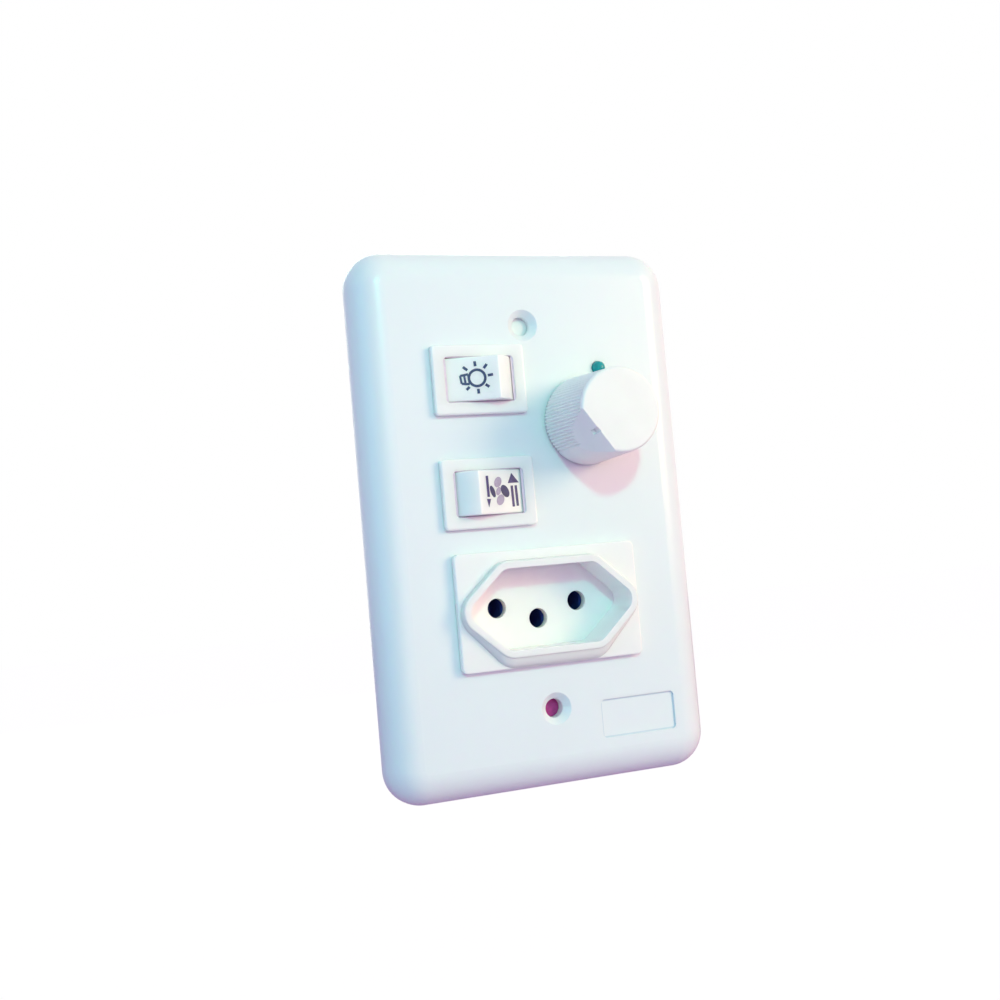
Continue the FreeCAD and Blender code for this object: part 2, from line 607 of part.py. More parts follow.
def make_face_plate():
    body = new_body("face_plate")
    sketch = new_sketch(body, "plate_outline", lift=-s.plate_depth)
    rectangle(sketch, 0, 0, s.plate_width, s.plate_height)
    slab = pad(body, "plate_slab", sketch, s.plate_depth)
    corners = fillet(body, "plate_corners", slab, lambda edge: runs_along(edge, UP), s.plate_corner)
    front = flat_at(0, s.plate_width / 2, s.plate_height / 2)
    rounded = fillet(body, "plate_front_edge", corners, front, s.plate_edge_radius)
    back_faces = [
        f"Face{number}"
        for number, face in enumerate(rounded.Shape.Faces, start=1)
        if face.BoundBox.ZMax < TOLERANCE - s.plate_depth.value
    ]
    shell = body.newObject("PartDesign::Thickness", "plate_shell")
    shell.Base = (rounded, back_faces)
    bind(shell, "Value", s.plate_wall)
    shell.Reversed = True
    shell.Join = 0
    doc.recompute()

    middle_of_wall = s.plate_wall / 2
    sketch = new_sketch(body, "screw_pillar_outline", lift=-s.plate_depth)
    for x, y in SCREW_PLACES:
        circle(sketch, x, y, s.screw_boss)
    pad(body, "screw_pillars", sketch, s.plate_depth - middle_of_wall)

    sketch = new_sketch(body, "rib_outline", lift=-s.rib_depth)
    side_length = s.plate_height - 2 * s.plate_edge_radius - 8
    for x in (-s.side_rib_x, s.side_rib_x):
        rectangle(sketch, x, 0, s.rib_thickness, side_length)
    pad(body, "side_ribs", sketch, s.rib_depth - middle_of_wall)
    sketch = new_sketch(body, "cross_rib_outline", lift=-s.rib_depth)
    between_switches = (s.light_y + s.reverse_y) / 2
    above_socket = (s.reverse_y - s.switch_height / 2 + s.socket_y + s.recess_flat_y) / 2
    below_socket = s.socket_y - s.socket_height / 2 - 2.5
    short_length = s.side_rib_x + s.knob_x - s.can / 2 - 1.5
    rectangle(sketch, short_length / 2 - s.side_rib_x, between_switches, short_length, s.rib_thickness)
    rectangle(sketch, 0, above_socket, 2 * s.side_rib_x, s.rib_thickness)
    rectangle(sketch, 0, below_socket, 2 * s.side_rib_x, s.rib_thickness)
    pad(body, "cross_ribs", sketch, s.rib_depth - middle_of_wall)

    sketch = new_sketch(body, "post_outline", lift=-s.board_front)
    for x, y in POST_PLACES:
        circle(sketch, x, y, s.post)
    pad(body, "board_posts", sketch, s.board_front - middle_of_wall)
    sketch = new_sketch(body, "pilot_outline", lift=-s.board_front)
    for x, y in POST_PLACES:
        circle(sketch, x, y, s.board_screw + 2 * s.screw_gap)
    pocket(body, "post_pilots", sketch, s.board_screw_length + 0.6 - s.board_thickness, reverse=True)

    sketch = new_sketch(body, "window_outline")
    window_width = s.switch_width + 2 * s.cutout_gap
    window_height = s.switch_height + 2 * s.cutout_gap
    for y in (s.light_y, s.reverse_y):
        rectangle(sketch, s.switch_x, y, window_width, window_height)
    circle(sketch, s.knob_x, s.knob_y, s.bushing_hole)
    circle(sketch, s.lamp_x, s.lamp_y, s.lamp + 2 * s.lamp_gap)
    pocket(body, "windows", sketch, s.plate_depth)

    sketch = new_sketch(body, "socket_window_outline")
    plug_outline(sketch, s.neck_wall + s.cutout_gap, s.socket_y)
    pocket(body, "socket_window", sketch, s.plate_depth)

    sketch = new_sketch(body, "screw_hole_outline")
    for x, y in SCREW_PLACES:
        circle(sketch, x, y, s.screw_hole)
    holes = pocket(body, "screw_holes", sketch, s.plate_depth)
    reach = s.screw_spacing.value / 2 + s.screw_hole.value

    def hole_mouth(edge):
        box = edge.BoundBox
        round_hole = edge.Curve.TypeId == "Part::GeomCircle" and abs(box.ZMin) < TOLERANCE
        wide = abs(box.XMax - box.XMin - s.screw_hole.value) < TOLERANCE
        return round_hole and wide and box.ZMax < TOLERANCE and max(abs(box.YMin), abs(box.YMax)) < reach

    dish = body.newObject("PartDesign::Chamfer", "screw_dishes")
    dish.Base = (holes, edge_names(holes, hole_mouth))
    bind(dish, "Size", (s.screw_dish - s.screw_hole) / 2)
    doc.recompute()

    sketch = new_sketch(body, "label_outline")
    rectangle(sketch, LABEL_X, LABEL_Y, s.label_width, s.label_height)
    recess = pocket(body, "label_recess", sketch, s.label_depth)
    label_corners = [
        (LABEL_X + across * s.label_width / 2, LABEL_Y + up * s.label_height / 2)
        for across in (-1, 1)
        for up in (-1, 1)
    ]
    fillet(body, "label_corners", recess, upright_at(label_corners, -s.label_depth, 0), s.label_corner)


# The two rocker switches

ROCKER_CORNER_X = s.rocker_radius * sine(s.rocker_face_angle)
ROCKER_CORNER_Y = s.rocker_radius * cosine(s.rocker_face_angle)
PIVOT_DEPTH = s.rocker_pivot_depth - s.bezel_proud
LIP_TO_PIVOT = s.rocker_pivot_depth - s.opening_lip
OPENING_WIDTH = 2 * (root(s.rocker_radius * s.rocker_radius - LIP_TO_PIVOT * LIP_TO_PIVOT) + s.rocker_gap)
OPENING_HEIGHT = s.rocker_width + 2 * s.rocker_side_gap
CAVITY_WIDTH = 2 * (s.rocker_radius + s.rocker_gap)
LEVER_DEPTH = s.switch_depth - s.switch_floor - s.lever_lift
PLUNGER_TIP = LEVER_DEPTH - s.lever_thickness - s.lever_gap - PIVOT_DEPTH
STEM_REACH = PLUNGER_TIP - s.plunger_show


def make_switch_housing(name, y, terminal_places):
    body = new_body(name, s.switch_x, y)
    sketch = new_sketch(body, "bezel_outline")
    rectangle(sketch, 0, 0, s.bezel_width, s.bezel_height)
    bezel = pad(body, "bezel", sketch, s.bezel_proud)
    rounded = fillet(body, "bezel_corners", bezel, lambda edge: runs_along(edge, UP), s.bezel_corner)
    front = flat_at(s.bezel_proud, s.bezel_width / 2, s.bezel_height / 2)
    fillet(body, "bezel_front_edge", rounded, front, s.bezel_edge)
    sketch = new_sketch(body, "case_outline", lift=-s.switch_depth)
    rectangle(sketch, 0, 0, s.switch_width, s.switch_height)
    pad(body, "case", sketch, s.switch_depth)

    sketch = new_sketch(body, "opening_outline", lift=s.bezel_proud)
    rectangle(sketch, 0, 0, OPENING_WIDTH, OPENING_HEIGHT)
    opening = pocket(body, "opening", sketch, s.opening_lip)
    corners = [
        (across * OPENING_WIDTH / 2, up * OPENING_HEIGHT / 2)
        for across in (-1, 1)
        for up in (-1, 1)
    ]
    chosen = upright_at(corners, s.bezel_proud - s.opening_lip, s.bezel_proud)
    fillet(body, "opening_corners", opening, chosen, s.opening_corner)
    inner_top = s.bezel_proud - s.opening_lip
    sketch = new_sketch(body, "cavity_outline", lift=inner_top)
    rectangle(sketch, 0, 0, CAVITY_WIDTH, OPENING_HEIGHT)
    pocket(body, "cavity", sketch, inner_top + s.switch_depth - s.switch_floor)

    sketch = new_sketch(body, "pivot_outline", plane="XZ")
    circle(sketch, 0, -PIVOT_DEPTH, s.trunnion + 2 * s.pivot_gap)
    bore_length = OPENING_HEIGHT + 2 * s.trunnion_length
    pocket(body, "pivot_bores", sketch, bore_length, midplane=True)

    sketch = new_sketch(body, "slot_outline", lift=-s.switch_depth)
    for x in terminal_places:
        rectangle(sketch, x, 0, s.blade_thickness + 2 * s.slot_gap, s.blade_width + 2 * s.slot_gap)
    pocket(body, "terminal_slots", sketch, s.switch_floor, reverse=True)

    sketch = new_sketch(body, "wing_outline", plane="XZ")
    top = -s.plate_wall - s.snap_gap
    root_x = s.switch_width / 2 - 0.3
    for side in (-1, 1):
        tip = (side * (s.switch_width / 2 + s.wing_reach), top)
        outline(sketch, [(side * root_x, top), tip, (side * root_x, top - s.wing_length)])
    pad(body, "snap_wings", sketch, s.wing_width, midplane=True)


def arc_about_origin(sketch, radius, start_x, start_y, end_x, end_y):
    """An arc with its middle on the sketch's origin, its ends set by their x."""
    first_angle = math.atan2(start_y.value, start_x.value)
    last_angle = math.atan2(end_y.value, end_x.value)
    circle = Part.Circle(Vector(0, 0, 0), UP, radius.value)
    shape = Part.ArcOfCircle(circle, first_angle, last_angle)
    index = sketch.addGeometry(shape, False)
    sketch.addConstraint(Sketcher.Constraint("Coincident", index, 3, -1, 1))
    limit = sketch.addConstraint(Sketcher.Constraint("Radius", index, radius.value))
    bind(sketch, f"Constraints[{limit}]", radius)
    hold(sketch, "DistanceX", index, 1, start_x)
    hold(sketch, "DistanceX", index, 2, end_x)
    return index


def chain(sketch, joints):
    for first, first_point, second, second_point in joints:
        sketch.addConstraint(Sketcher.Constraint("Coincident", first, first_point, second, second_point))


def rocker_section(sketch):
    """Pressed face, two rounded ends about the pivot, and the lugs that hold the pins."""
    end_x = s.rocker_radius * sine(s.rocker_end_angle)
    end_y = s.rocker_radius * cosine(s.rocker_end_angle)
    corner_x, corner_y = ROCKER_CORNER_X, ROCKER_CORNER_Y
    right = arc_about_origin(sketch, s.rocker_radius, corner_x, -corner_y, end_x, -end_y)
    left = arc_about_origin(sketch, s.rocker_radius, -end_x, -end_y, -corner_x, -corner_y)
    middle = Vector(0, s.rocker_hollow.value - corner_y.value, 0)
    face = Part.Arc(
        Vector(corner_x.value, -corner_y.value, 0),
        middle,
        Vector(-corner_x.value, -corner_y.value, 0),
    )
    hollow = sketch.addGeometry(face, False)
    face_radius = (corner_x * corner_x + s.rocker_hollow * s.rocker_hollow) / (2 * s.rocker_hollow)
    limit = sketch.addConstraint(Sketcher.Constraint("Radius", hollow, face_radius.value))
    bind(sketch, f"Constraints[{limit}]", face_radius)
    foot = [
        (end_x, -end_y),
        (s.rocker_skirt_x, as_size(0)),
        (s.rocker_lug_x, s.rocker_lug_y),
        (-s.rocker_lug_x, s.rocker_lug_y),
        (-s.rocker_skirt_x, as_size(0)),
        (-end_x, -end_y),
    ]
    lines = []
    for start, end in zip(foot, foot[1:]):
        begin = Vector(start[0].value, start[1].value, 0)
        finish = Vector(end[0].value, end[1].value, 0)
        lines.append(sketch.addGeometry(Part.LineSegment(begin, finish), False))
    for line, (x, y) in zip(lines[1:], foot[1:-1]):
        hold(sketch, "DistanceX", line, 1, x)
        hold(sketch, "DistanceY", line, 1, y)
    chain(sketch, [(first, 2, second, 1) for first, second in zip(lines, lines[1:])])
    # The hollow arc runs from left to right once stored, whichever way it was drawn.
    starts_right = sketch.Geometry[hollow].StartPoint.x > 0
    right_end, left_end = (1, 2) if starts_right else (2, 1)
    chain(sketch, [(right, 1, hollow, right_end), (left, 2, hollow, left_end)])
    chain(sketch, [(right, 2, lines[0], 1), (left, 1, lines[-1], 2)])


def make_rocker(name, y, sense):
    body = new_pivoted_body(name, s.switch_x, PIVOT_DEPTH, y, s.rocker_tilt, sense)
    sketch = new_sketch(body, "section")
    rocker_section(sketch)
    solid = pad(body, "rocker", sketch, s.rocker_width, midplane=True)
    ridge = fillet(
        body,
        "ridges",
        solid,
        upright_at([(ROCKER_CORNER_X, -ROCKER_CORNER_Y), (-ROCKER_CORNER_X, -ROCKER_CORNER_Y)],
                   -s.rocker_width / 2, s.rocker_width / 2),
        0.5,
    )
    half_width = s.rocker_width.value / 2
    front_limit = -s.rocker_radius.value * math.cos(math.radians(s.rocker_end_angle.value))

    def side_of_face(edge):
        box = edge.BoundBox
        on_side = abs(abs(box.ZMin) - half_width) < TOLERANCE and box.ZMax - box.ZMin < TOLERANCE
        return on_side and box.YMax < front_limit + TOLERANCE

    fillet(body, "side_edges", ridge, side_of_face, 0.3)

    inner_width = s.rocker_width - 2 * s.rocker_wall
    inner_radius = s.rocker_radius - s.rocker_wall
    roof_y = s.rocker_hollow + s.rocker_roof - ROCKER_CORNER_Y
    for side, label in ((-1, "left"), (1, "right")):
        sketch = new_sketch(body, f"{label}_hollow_outline")
        shoulder_x = inner_radius * sine(s.rocker_face_angle)
        shoulder_y = s.rocker_wall - inner_radius * cosine(s.rocker_face_angle)
        middle_angle = (s.rocker_face_angle + s.rocker_end_angle) / 2
        corners = [
            (s.stem_half, roof_y),
            (shoulder_x, shoulder_y),
            (inner_radius * sine(middle_angle), -inner_radius * cosine(middle_angle)),
            (inner_radius * sine(s.rocker_end_angle), -inner_radius * cosine(s.rocker_end_angle)),
            (s.rocker_skirt_x - s.rocker_wall, s.rocker_lug_y + 0.5),
            (s.stem_half, s.rocker_lug_y + 0.5),
        ]
        outline(sketch, [(side * x, y_place) for x, y_place in corners])
        pocket(body, f"{label}_hollow", sketch, inner_width, midplane=True)

    sketch = new_sketch(body, "stem_outline")
    stem_start = s.rocker_lug_y - 0.6
    rectangle(sketch, 0, (stem_start + STEM_REACH) / 2, 2 * s.stem_half, STEM_REACH - stem_start)
    pad(body, "plunger_guide", sketch, 2 * s.stem_half, midplane=True)
    sketch = new_sketch(body, "pin_outline")
    circle(sketch, 0, 0, s.trunnion)
    pad(body, "pivot_pins", sketch, s.rocker_width + 2 * s.trunnion_length, midplane=True)
    bore_start = s.plunger_length + s.spring_length - PLUNGER_TIP + 0.2
    sketch = new_sketch(body, "guide_bore_outline", plane="XZ", lift=bore_start)
    circle(sketch, 0, 0, s.plunger + 2 * s.plunger_gap)
    pocket(body, "guide_bore", sketch, bore_start + STEM_REACH + 1)


def make_plunger(name, y, sense):
    body = new_pivoted_body(name, s.switch_x, PIVOT_DEPTH, y, s.rocker_tilt, sense)
    start = PLUNGER_TIP - s.plunger_length
    sketch = new_sketch(body, "plunger_outline", plane="XZ", lift=-start)
    circle(sketch, 0, 0, s.plunger)
    plunger = pad(body, "plunger", sketch, s.plunger_length, reverse=True)
    tip = PLUNGER_TIP.value
    nose = s.plunger / 2 - 0.15
    fillet(body, "plunger_nose", plunger, lambda edge: edge.BoundBox.YMin > tip - TOLERANCE, nose)


def make_plunger_spring(name, y, sense):
    body = new_pivoted_body(name, s.switch_x, PIVOT_DEPTH, y, s.rocker_tilt, sense)
    coil_radius = s.plunger / 2 - s.spring_wire / 2 - 0.05
    start = PLUNGER_TIP - s.plunger_length - s.spring_length
    sketch = new_sketch(body, "wire_outline")
    circle(sketch, coil_radius, start + s.spring_wire / 2 + 0.05, s.spring_wire)
    coil = body.newObject("PartDesign::AdditiveHelix", "coil")
    coil.Profile = sketch
    coil.ReferenceAxis = (sketch, ["V_Axis"])
    coil.Mode = "height-turns-angle"
    bind(coil, "Height", s.spring_length - s.spring_wire - 0.1)
    bind(coil, "Turns", s.spring_turns)
    doc.recompute()


def make_lever(name, y, sense, rivet_sides):
    """A bar that rocks on the common terminal and carries the moving contacts."""
    body = new_pivoted_body(name, s.switch_x, LEVER_DEPTH, y, s.lever_tilt, sense)
    sketch = new_sketch(body, "bar_section")
    rectangle(sketch, 0, -s.lever_thickness / 2, s.lever_length, s.lever_thickness)
    pad(body, "bar", sketch, s.lever_width, midplane=True)
    head = 0.25
    sketch = new_sketch(body, "rivet_outline", plane="XZ", lift=s.lever_thickness + head)
    for side in rivet_sides:
        circle(sketch, side * s.rivet_x, 0, s.rivet)
    pad(body, "contact_rivets", sketch, s.lever_thickness + head + s.rivet_height, reverse=True)


def blade_points(top, top_half):
    """Terminal blade seen from the side: a tapered tip, the blade and its upper part."""
    half = s.blade_width / 2
    tip = -s.switch_depth - s.blade_length
    shoulder = s.foot_thickness - s.switch_depth + s.switch_floor
    points = [
        (half, tip + 1.6),
        (half, shoulder),
        (top_half, shoulder),
        (top_half, top),
        (-top_half, top),
        (-top_half, shoulder),
        (-half, shoulder),
        (-half, tip + 1.6),
        (-(half - 1.2), tip),
        (half - 1.2, tip),
    ]
    return points


def drill_blade(body, x):
    sketch = new_sketch(body, "eye_outline", plane="YZ", lift=x)
    circle(sketch, 0, 2.6 - s.switch_depth - s.blade_length, s.blade_hole)
    pocket(body, "eye", sketch, 2 * s.blade_thickness, midplane=True)


def make_common_terminal(name, y):
    body = new_body(name, s.switch_x, y)
    sketch = new_sketch(body, "blade_outline", plane="YZ")
    outline(sketch, blade_points(-LEVER_DEPTH - s.lever_gap, s.lever_width / 2))
    pad(body, "blade", sketch, s.blade_thickness, midplane=True)
    drill_blade(body, 0)


def make_outer_terminal(name, y, side):
    """A blade whose top is bent inwards over the case floor as the fixed contact."""
    body = new_body(name, s.switch_x, y)
    x = side * s.blade_x
    floor = s.switch_floor - s.switch_depth
    half = s.blade_width / 2
    tip = -s.switch_depth - s.blade_length
    sketch = new_sketch(body, "blade_outline", plane="YZ", lift=x)
    top = floor + s.foot_thickness
    shoulder = tip + 1.6
    narrow = half - 1.2
    corners = [
        (half, shoulder), (half, top), (-half, top), (-half, shoulder), (-narrow, tip), (narrow, tip)
    ]
    outline(sketch, corners)
    pad(body, "blade", sketch, s.blade_thickness, midplane=True)
    sketch = new_sketch(body, "foot_outline", lift=floor)
    outer = s.blade_x + s.blade_thickness / 2
    inner = s.blade_x - s.foot_reach
    rectangle(sketch, side * (outer + inner) / 2, 0, outer - inner, s.blade_width - 0.6)
    pad(body, "foot", sketch, s.foot_thickness)
    drill_blade(body, x)


def make_switch(name, y, sense, terminal_sides):
    """sense is the way that the rocker is turned at rest, +1 or -1 about the upright axis."""
    places = [0] + [side * s.blade_x for side in terminal_sides]
    make_switch_housing(f"{name}_housing", y, places)
    make_rocker(f"{name}_rocker", y, sense)
    make_plunger(f"{name}_plunger", y, sense)
    make_plunger_spring(f"{name}_spring", y, sense)
    make_lever(f"{name}_lever", y, -sense, terminal_sides)
    make_common_terminal(f"{name}_common_terminal", y)
    for side in terminal_sides:
        label = "right" if side > 0 else "left"
        make_outer_terminal(f"{name}_{label}_terminal", y, side)


# The socket

FLOOR_BACK = s.collar_proud - s.recess_depth - s.socket_floor
CARRIER_BACK = FLOOR_BACK - s.carrier_length
SEAT = FLOOR_BACK - s.fork_lift - s.fork_length - s.strip_thickness
PIN_PLACES = [
    ("neutral", -s.pin_spacing / 2, s.pin_y),
    ("earth", as_size(0), s.pin_y - s.earth_drop),
    ("line", s.pin_spacing / 2, s.pin_y),
]
COVER_SCREW_PLACES = [(-s.cover_screw_x, 0), (s.cover_screw_x, 0)]


def plug_pad(body, name, wall, low, height):
    """A prism of the recess outline moved outwards by a wall."""
    sketch = new_sketch(body, f"{name}_outline", lift=low)
    plug_outline(sketch, wall)
    return pad(body, name, sketch, height)


def plug_pocket(body, name, top, depth):
    sketch = new_sketch(body, f"{name}_outline", lift=top)
    plug_outline(sketch, as_size(0))
    return pocket(body, name, sketch, depth)


def make_socket_front():
    body = new_body("socket_front", 0, s.socket_y)
    sketch = new_sketch(body, "base_outline")
    rectangle(sketch, 0, 0, s.socket_width, s.socket_height)
    base = pad(body, "base_plate", sketch, s.socket_proud)
    rounded = fillet(body, "base_corners", base, lambda edge: runs_along(edge, UP), s.socket_corner)
    front = flat_at(s.socket_proud, s.socket_width / 2, s.socket_height / 2)
    fillet(body, "base_front_edge", rounded, front, s.socket_edge)
    plug_pad(body, "neck", s.neck_wall, FLOOR_BACK, s.socket_proud / 2 - FLOOR_BACK)
    collar_low = s.socket_proud / 2
    collar = plug_pad(body, "collar", s.collar_wall, collar_low, s.collar_proud - collar_low)
    rim = flat_at(s.collar_proud, s.socket_width / 2, s.socket_height / 2)
    fillet(body, "collar_rim", collar, rim, s.collar_edge)
    plug_pocket(body, "recess", s.collar_proud, s.recess_depth)

    sketch = new_sketch(body, "pin_hole_outline", lift=s.collar_proud)
    for _, x, y in PIN_PLACES:
        circle(sketch, x, y, s.pin_hole)
    pocket(body, "pin_holes", sketch, s.recess_depth + s.socket_floor)

    sketch = new_sketch(body, "nub_outline", plane="YZ")
    top = -s.plate_wall - s.snap_gap
    flat = s.recess_flat_y + s.neck_wall
    for side in (-1, 1):
        tip = (side * (flat + s.nub_reach), top)
        outline(sketch, [(side * (flat - 0.3), top), tip, (side * (flat - 0.3), top - s.nub_length)])
    pad(body, "snap_nubs", sketch, s.nub_width, midplane=True)

    boss_back = CARRIER_BACK + s.carrier_back
    sketch = new_sketch(body, "boss_outline", lift=boss_back)
    for x, y in COVER_SCREW_PLACES:
        circle(sketch, x, y, s.cover_boss)
    pad(body, "screw_bosses", sketch, FLOOR_BACK - boss_back + s.socket_floor / 2)
    sketch = new_sketch(body, "boss_pilot_outline", lift=boss_back)
    for x, y in COVER_SCREW_PLACES:
        circle(sketch, x, y, s.cover_screw + 2 * s.screw_gap)
    pocket(body, "boss_pilots", sketch, s.cover_screw_length - s.carrier_back + 0.6, reverse=True)


def make_socket_carrier():
    """The back half of the socket: a box with a chamber for each contact."""
    body = new_body("socket_contact_carrier", 0, s.socket_y)
    plug_pad(body, "carrier", s.neck_wall, CARRIER_BACK, s.carrier_length)
    chamber_depth = s.carrier_length - s.carrier_back
    plug_pocket(body, "chamber", FLOOR_BACK, chamber_depth)
    chamber_floor = CARRIER_BACK + s.carrier_back
    sketch = new_sketch(body, "partition_outline", lift=chamber_floor - 0.5)
    for side in (-1, 1):
        rectangle(sketch, side * s.partition_x, 0, s.partition_thickness, 2 * s.recess_flat_y + s.neck_wall)
    pad(body, "partitions", sketch, chamber_depth + 0.5)
    sketch = new_sketch(body, "seat_outline", lift=chamber_floor - 0.5)
    seat_height = s.fork_width / 2
    for _, x, y in PIN_PLACES:
        rectangle(sketch, x, y - seat_height / 2, 2 * s.fork_half, seat_height)
    pad(body, "contact_seats", sketch, SEAT - chamber_floor + 0.5)

    sketch = new_sketch(body, "access_outline", lift=CARRIER_BACK)
    for _, x, y in PIN_PLACES:
        circle(sketch, x, s.clamp_row, s.clamp_access)
    for x, y in COVER_SCREW_PLACES:
        circle(sketch, x, y, s.cover_screw + 0.4)
    pocket(body, "screw_access", sketch, s.carrier_back + 0.4, reverse=True)
    sketch = new_sketch(body, "wire_slot_outline", lift=CARRIER_BACK)
    for _, x, y in PIN_PLACES:
        slot_low = y + 0.3
        rectangle(sketch, x, (slot_low + s.clamp_row) / 2, s.wire_slot, s.clamp_row - slot_low)
    pocket(body, "wire_slots", sketch, s.carrier_back + 0.4, reverse=True)


def make_contact(name, x, y):
    """A strip folded into a fork for the pin, with a tab for its clamp screw."""
    body = new_body(name, x, s.socket_y + y)
    mouth = FLOOR_BACK - s.fork_lift
    inner = s.fork_half
    outer = s.fork_half + s.strip_thickness
    right = [
        (inner, SEAT + s.strip_thickness),
        (inner, mouth - 1),
        (inner + s.fork_flare, mouth),
        (outer + s.fork_flare, mouth),
        (outer, mouth - 1),
        (outer, SEAT),
    ]
    left = [(-px, pz) for px, pz in reversed(right)]
    sketch = new_sketch(body, "fork_section", plane="XZ")
    outline(sketch, right + left)
    pad(body, "fork", sketch, s.fork_width, midplane=True)
    sketch = new_sketch(body, "tab_outline", lift=SEAT)
    tab_low = s.fork_width / 2 - 0.4
    tab_high = s.clamp_row - y + s.clamp_tab
    rectangle(sketch, 0, (tab_low + tab_high) / 2, s.fork_width - 0.2, tab_high - tab_low)
    pad(body, "tab", sketch, s.strip_thickness)
    sketch = new_sketch(body, "tab_hole_outline", lift=SEAT + s.strip_thickness)
    circle(sketch, 0, s.clamp_row - y, s.clamp_screw + 2 * s.screw_gap)
    pocket(body, "tab_hole", sketch, s.strip_thickness)


def slotted_screw(name, x, z, seat_depth, head, head_height, shank, length):
    """A screw driven from behind: its head behind seat_depth, its shank towards the room."""
    head_rod = rod(f"{name}_head", x, z, seat_depth, head, head_height, "y")
    shank_rod = rod(f"{name}_shank", x, z, seat_depth - length, shank, length + head_height / 2, "y")
    whole = joined(f"{name}_blank", [head_rod, shank_rod])
    slot_depth = seat_depth + head_height * 0.45
    slot = block(f"{name}_slot", x - head, z - 0.35, slot_depth, 2 * head, 0.7, head_height)
    return drilled(name, whole, slot)


def make_socket():
    make_socket_front()
    make_socket_carrier()
    for label, x, y in PIN_PLACES:
        make_contact(f"socket_{label}_contact", x, y)
    clamps = [
        slotted_screw(
            f"clamp_screw_{label}", x, s.socket_y + s.clamp_row, -SEAT,
            s.clamp_head, s.clamp_head_height, s.clamp_screw, s.clamp_length,
        )
        for label, x, y in PIN_PLACES
    ]
    keep(group("clamp_screws", clamps), "socket_clamp_screws")
    covers = [
        slotted_screw(
            f"cover_screw_{number}", x, s.socket_y + y, -CARRIER_BACK,
            s.cover_head, s.cover_head_height, s.cover_screw, s.cover_screw_length,
        )
        for number, (x, y) in enumerate(COVER_SCREW_PLACES)
    ]
    keep(group("cover_screws", covers), "socket_cover_screws")


# The turning speed control

KNOB_TOP = s.knob_lift + s.knob_height
CAN_FRONT = -s.plate_wall - s.bushing_flange
ROTOR_FRONT = CAN_FRONT - s.rotor_gap
WIPER_FRONT = ROTOR_FRONT - s.rotor_thickness
TRACK_FRONT = WIPER_FRONT - s.wiper_thickness - s.track_gap


def shaft_section(sketch, gap):
    """A round shaft with a flat on its right side."""
    radius = s.shaft / 2 + gap
    flat = s.shaft_flat + gap
    high = root(radius * radius - flat * flat)
    angle = math.atan2(high.value, flat.value)
    full = Part.ArcOfCircle(
        Part.Circle(Vector(0, 0, 0), Vector(0, 0, 1), radius.value), angle, 2 * math.pi - angle
    )
    arc = sketch.addGeometry(full, False)
    sketch.addConstraint(Sketcher.Constraint("Coincident", arc, 3, -1, 1))
    limit = sketch.addConstraint(Sketcher.Constraint("Radius", arc, radius.value))
    bind(sketch, f"Constraints[{limit}]", radius)
    chord = sketch.addGeometry(
        Part.LineSegment(Vector(flat.value, -high.value, 0), Vector(flat.value, high.value, 0)), False
    )
    chain(sketch, [(arc, 1, chord, 2), (arc, 2, chord, 1)])
    hold(sketch, "DistanceX", chord, 1, flat)
    hold(sketch, "DistanceX", chord, 2, flat)


def turned_sketch(body, name, angle):
    """A sketch on the plane through the axis, turned about the axis by an angle."""
    sketch = new_sketch(body, name, plane="XZ")
    sketch.AttachmentOffset = FreeCAD.Placement(Vector(0, 0, 0), Rotation(Vector(0, 1, 0), angle.value))
    bind(sketch, "AttachmentOffset.Rotation.Angle", angle)
    return sketch


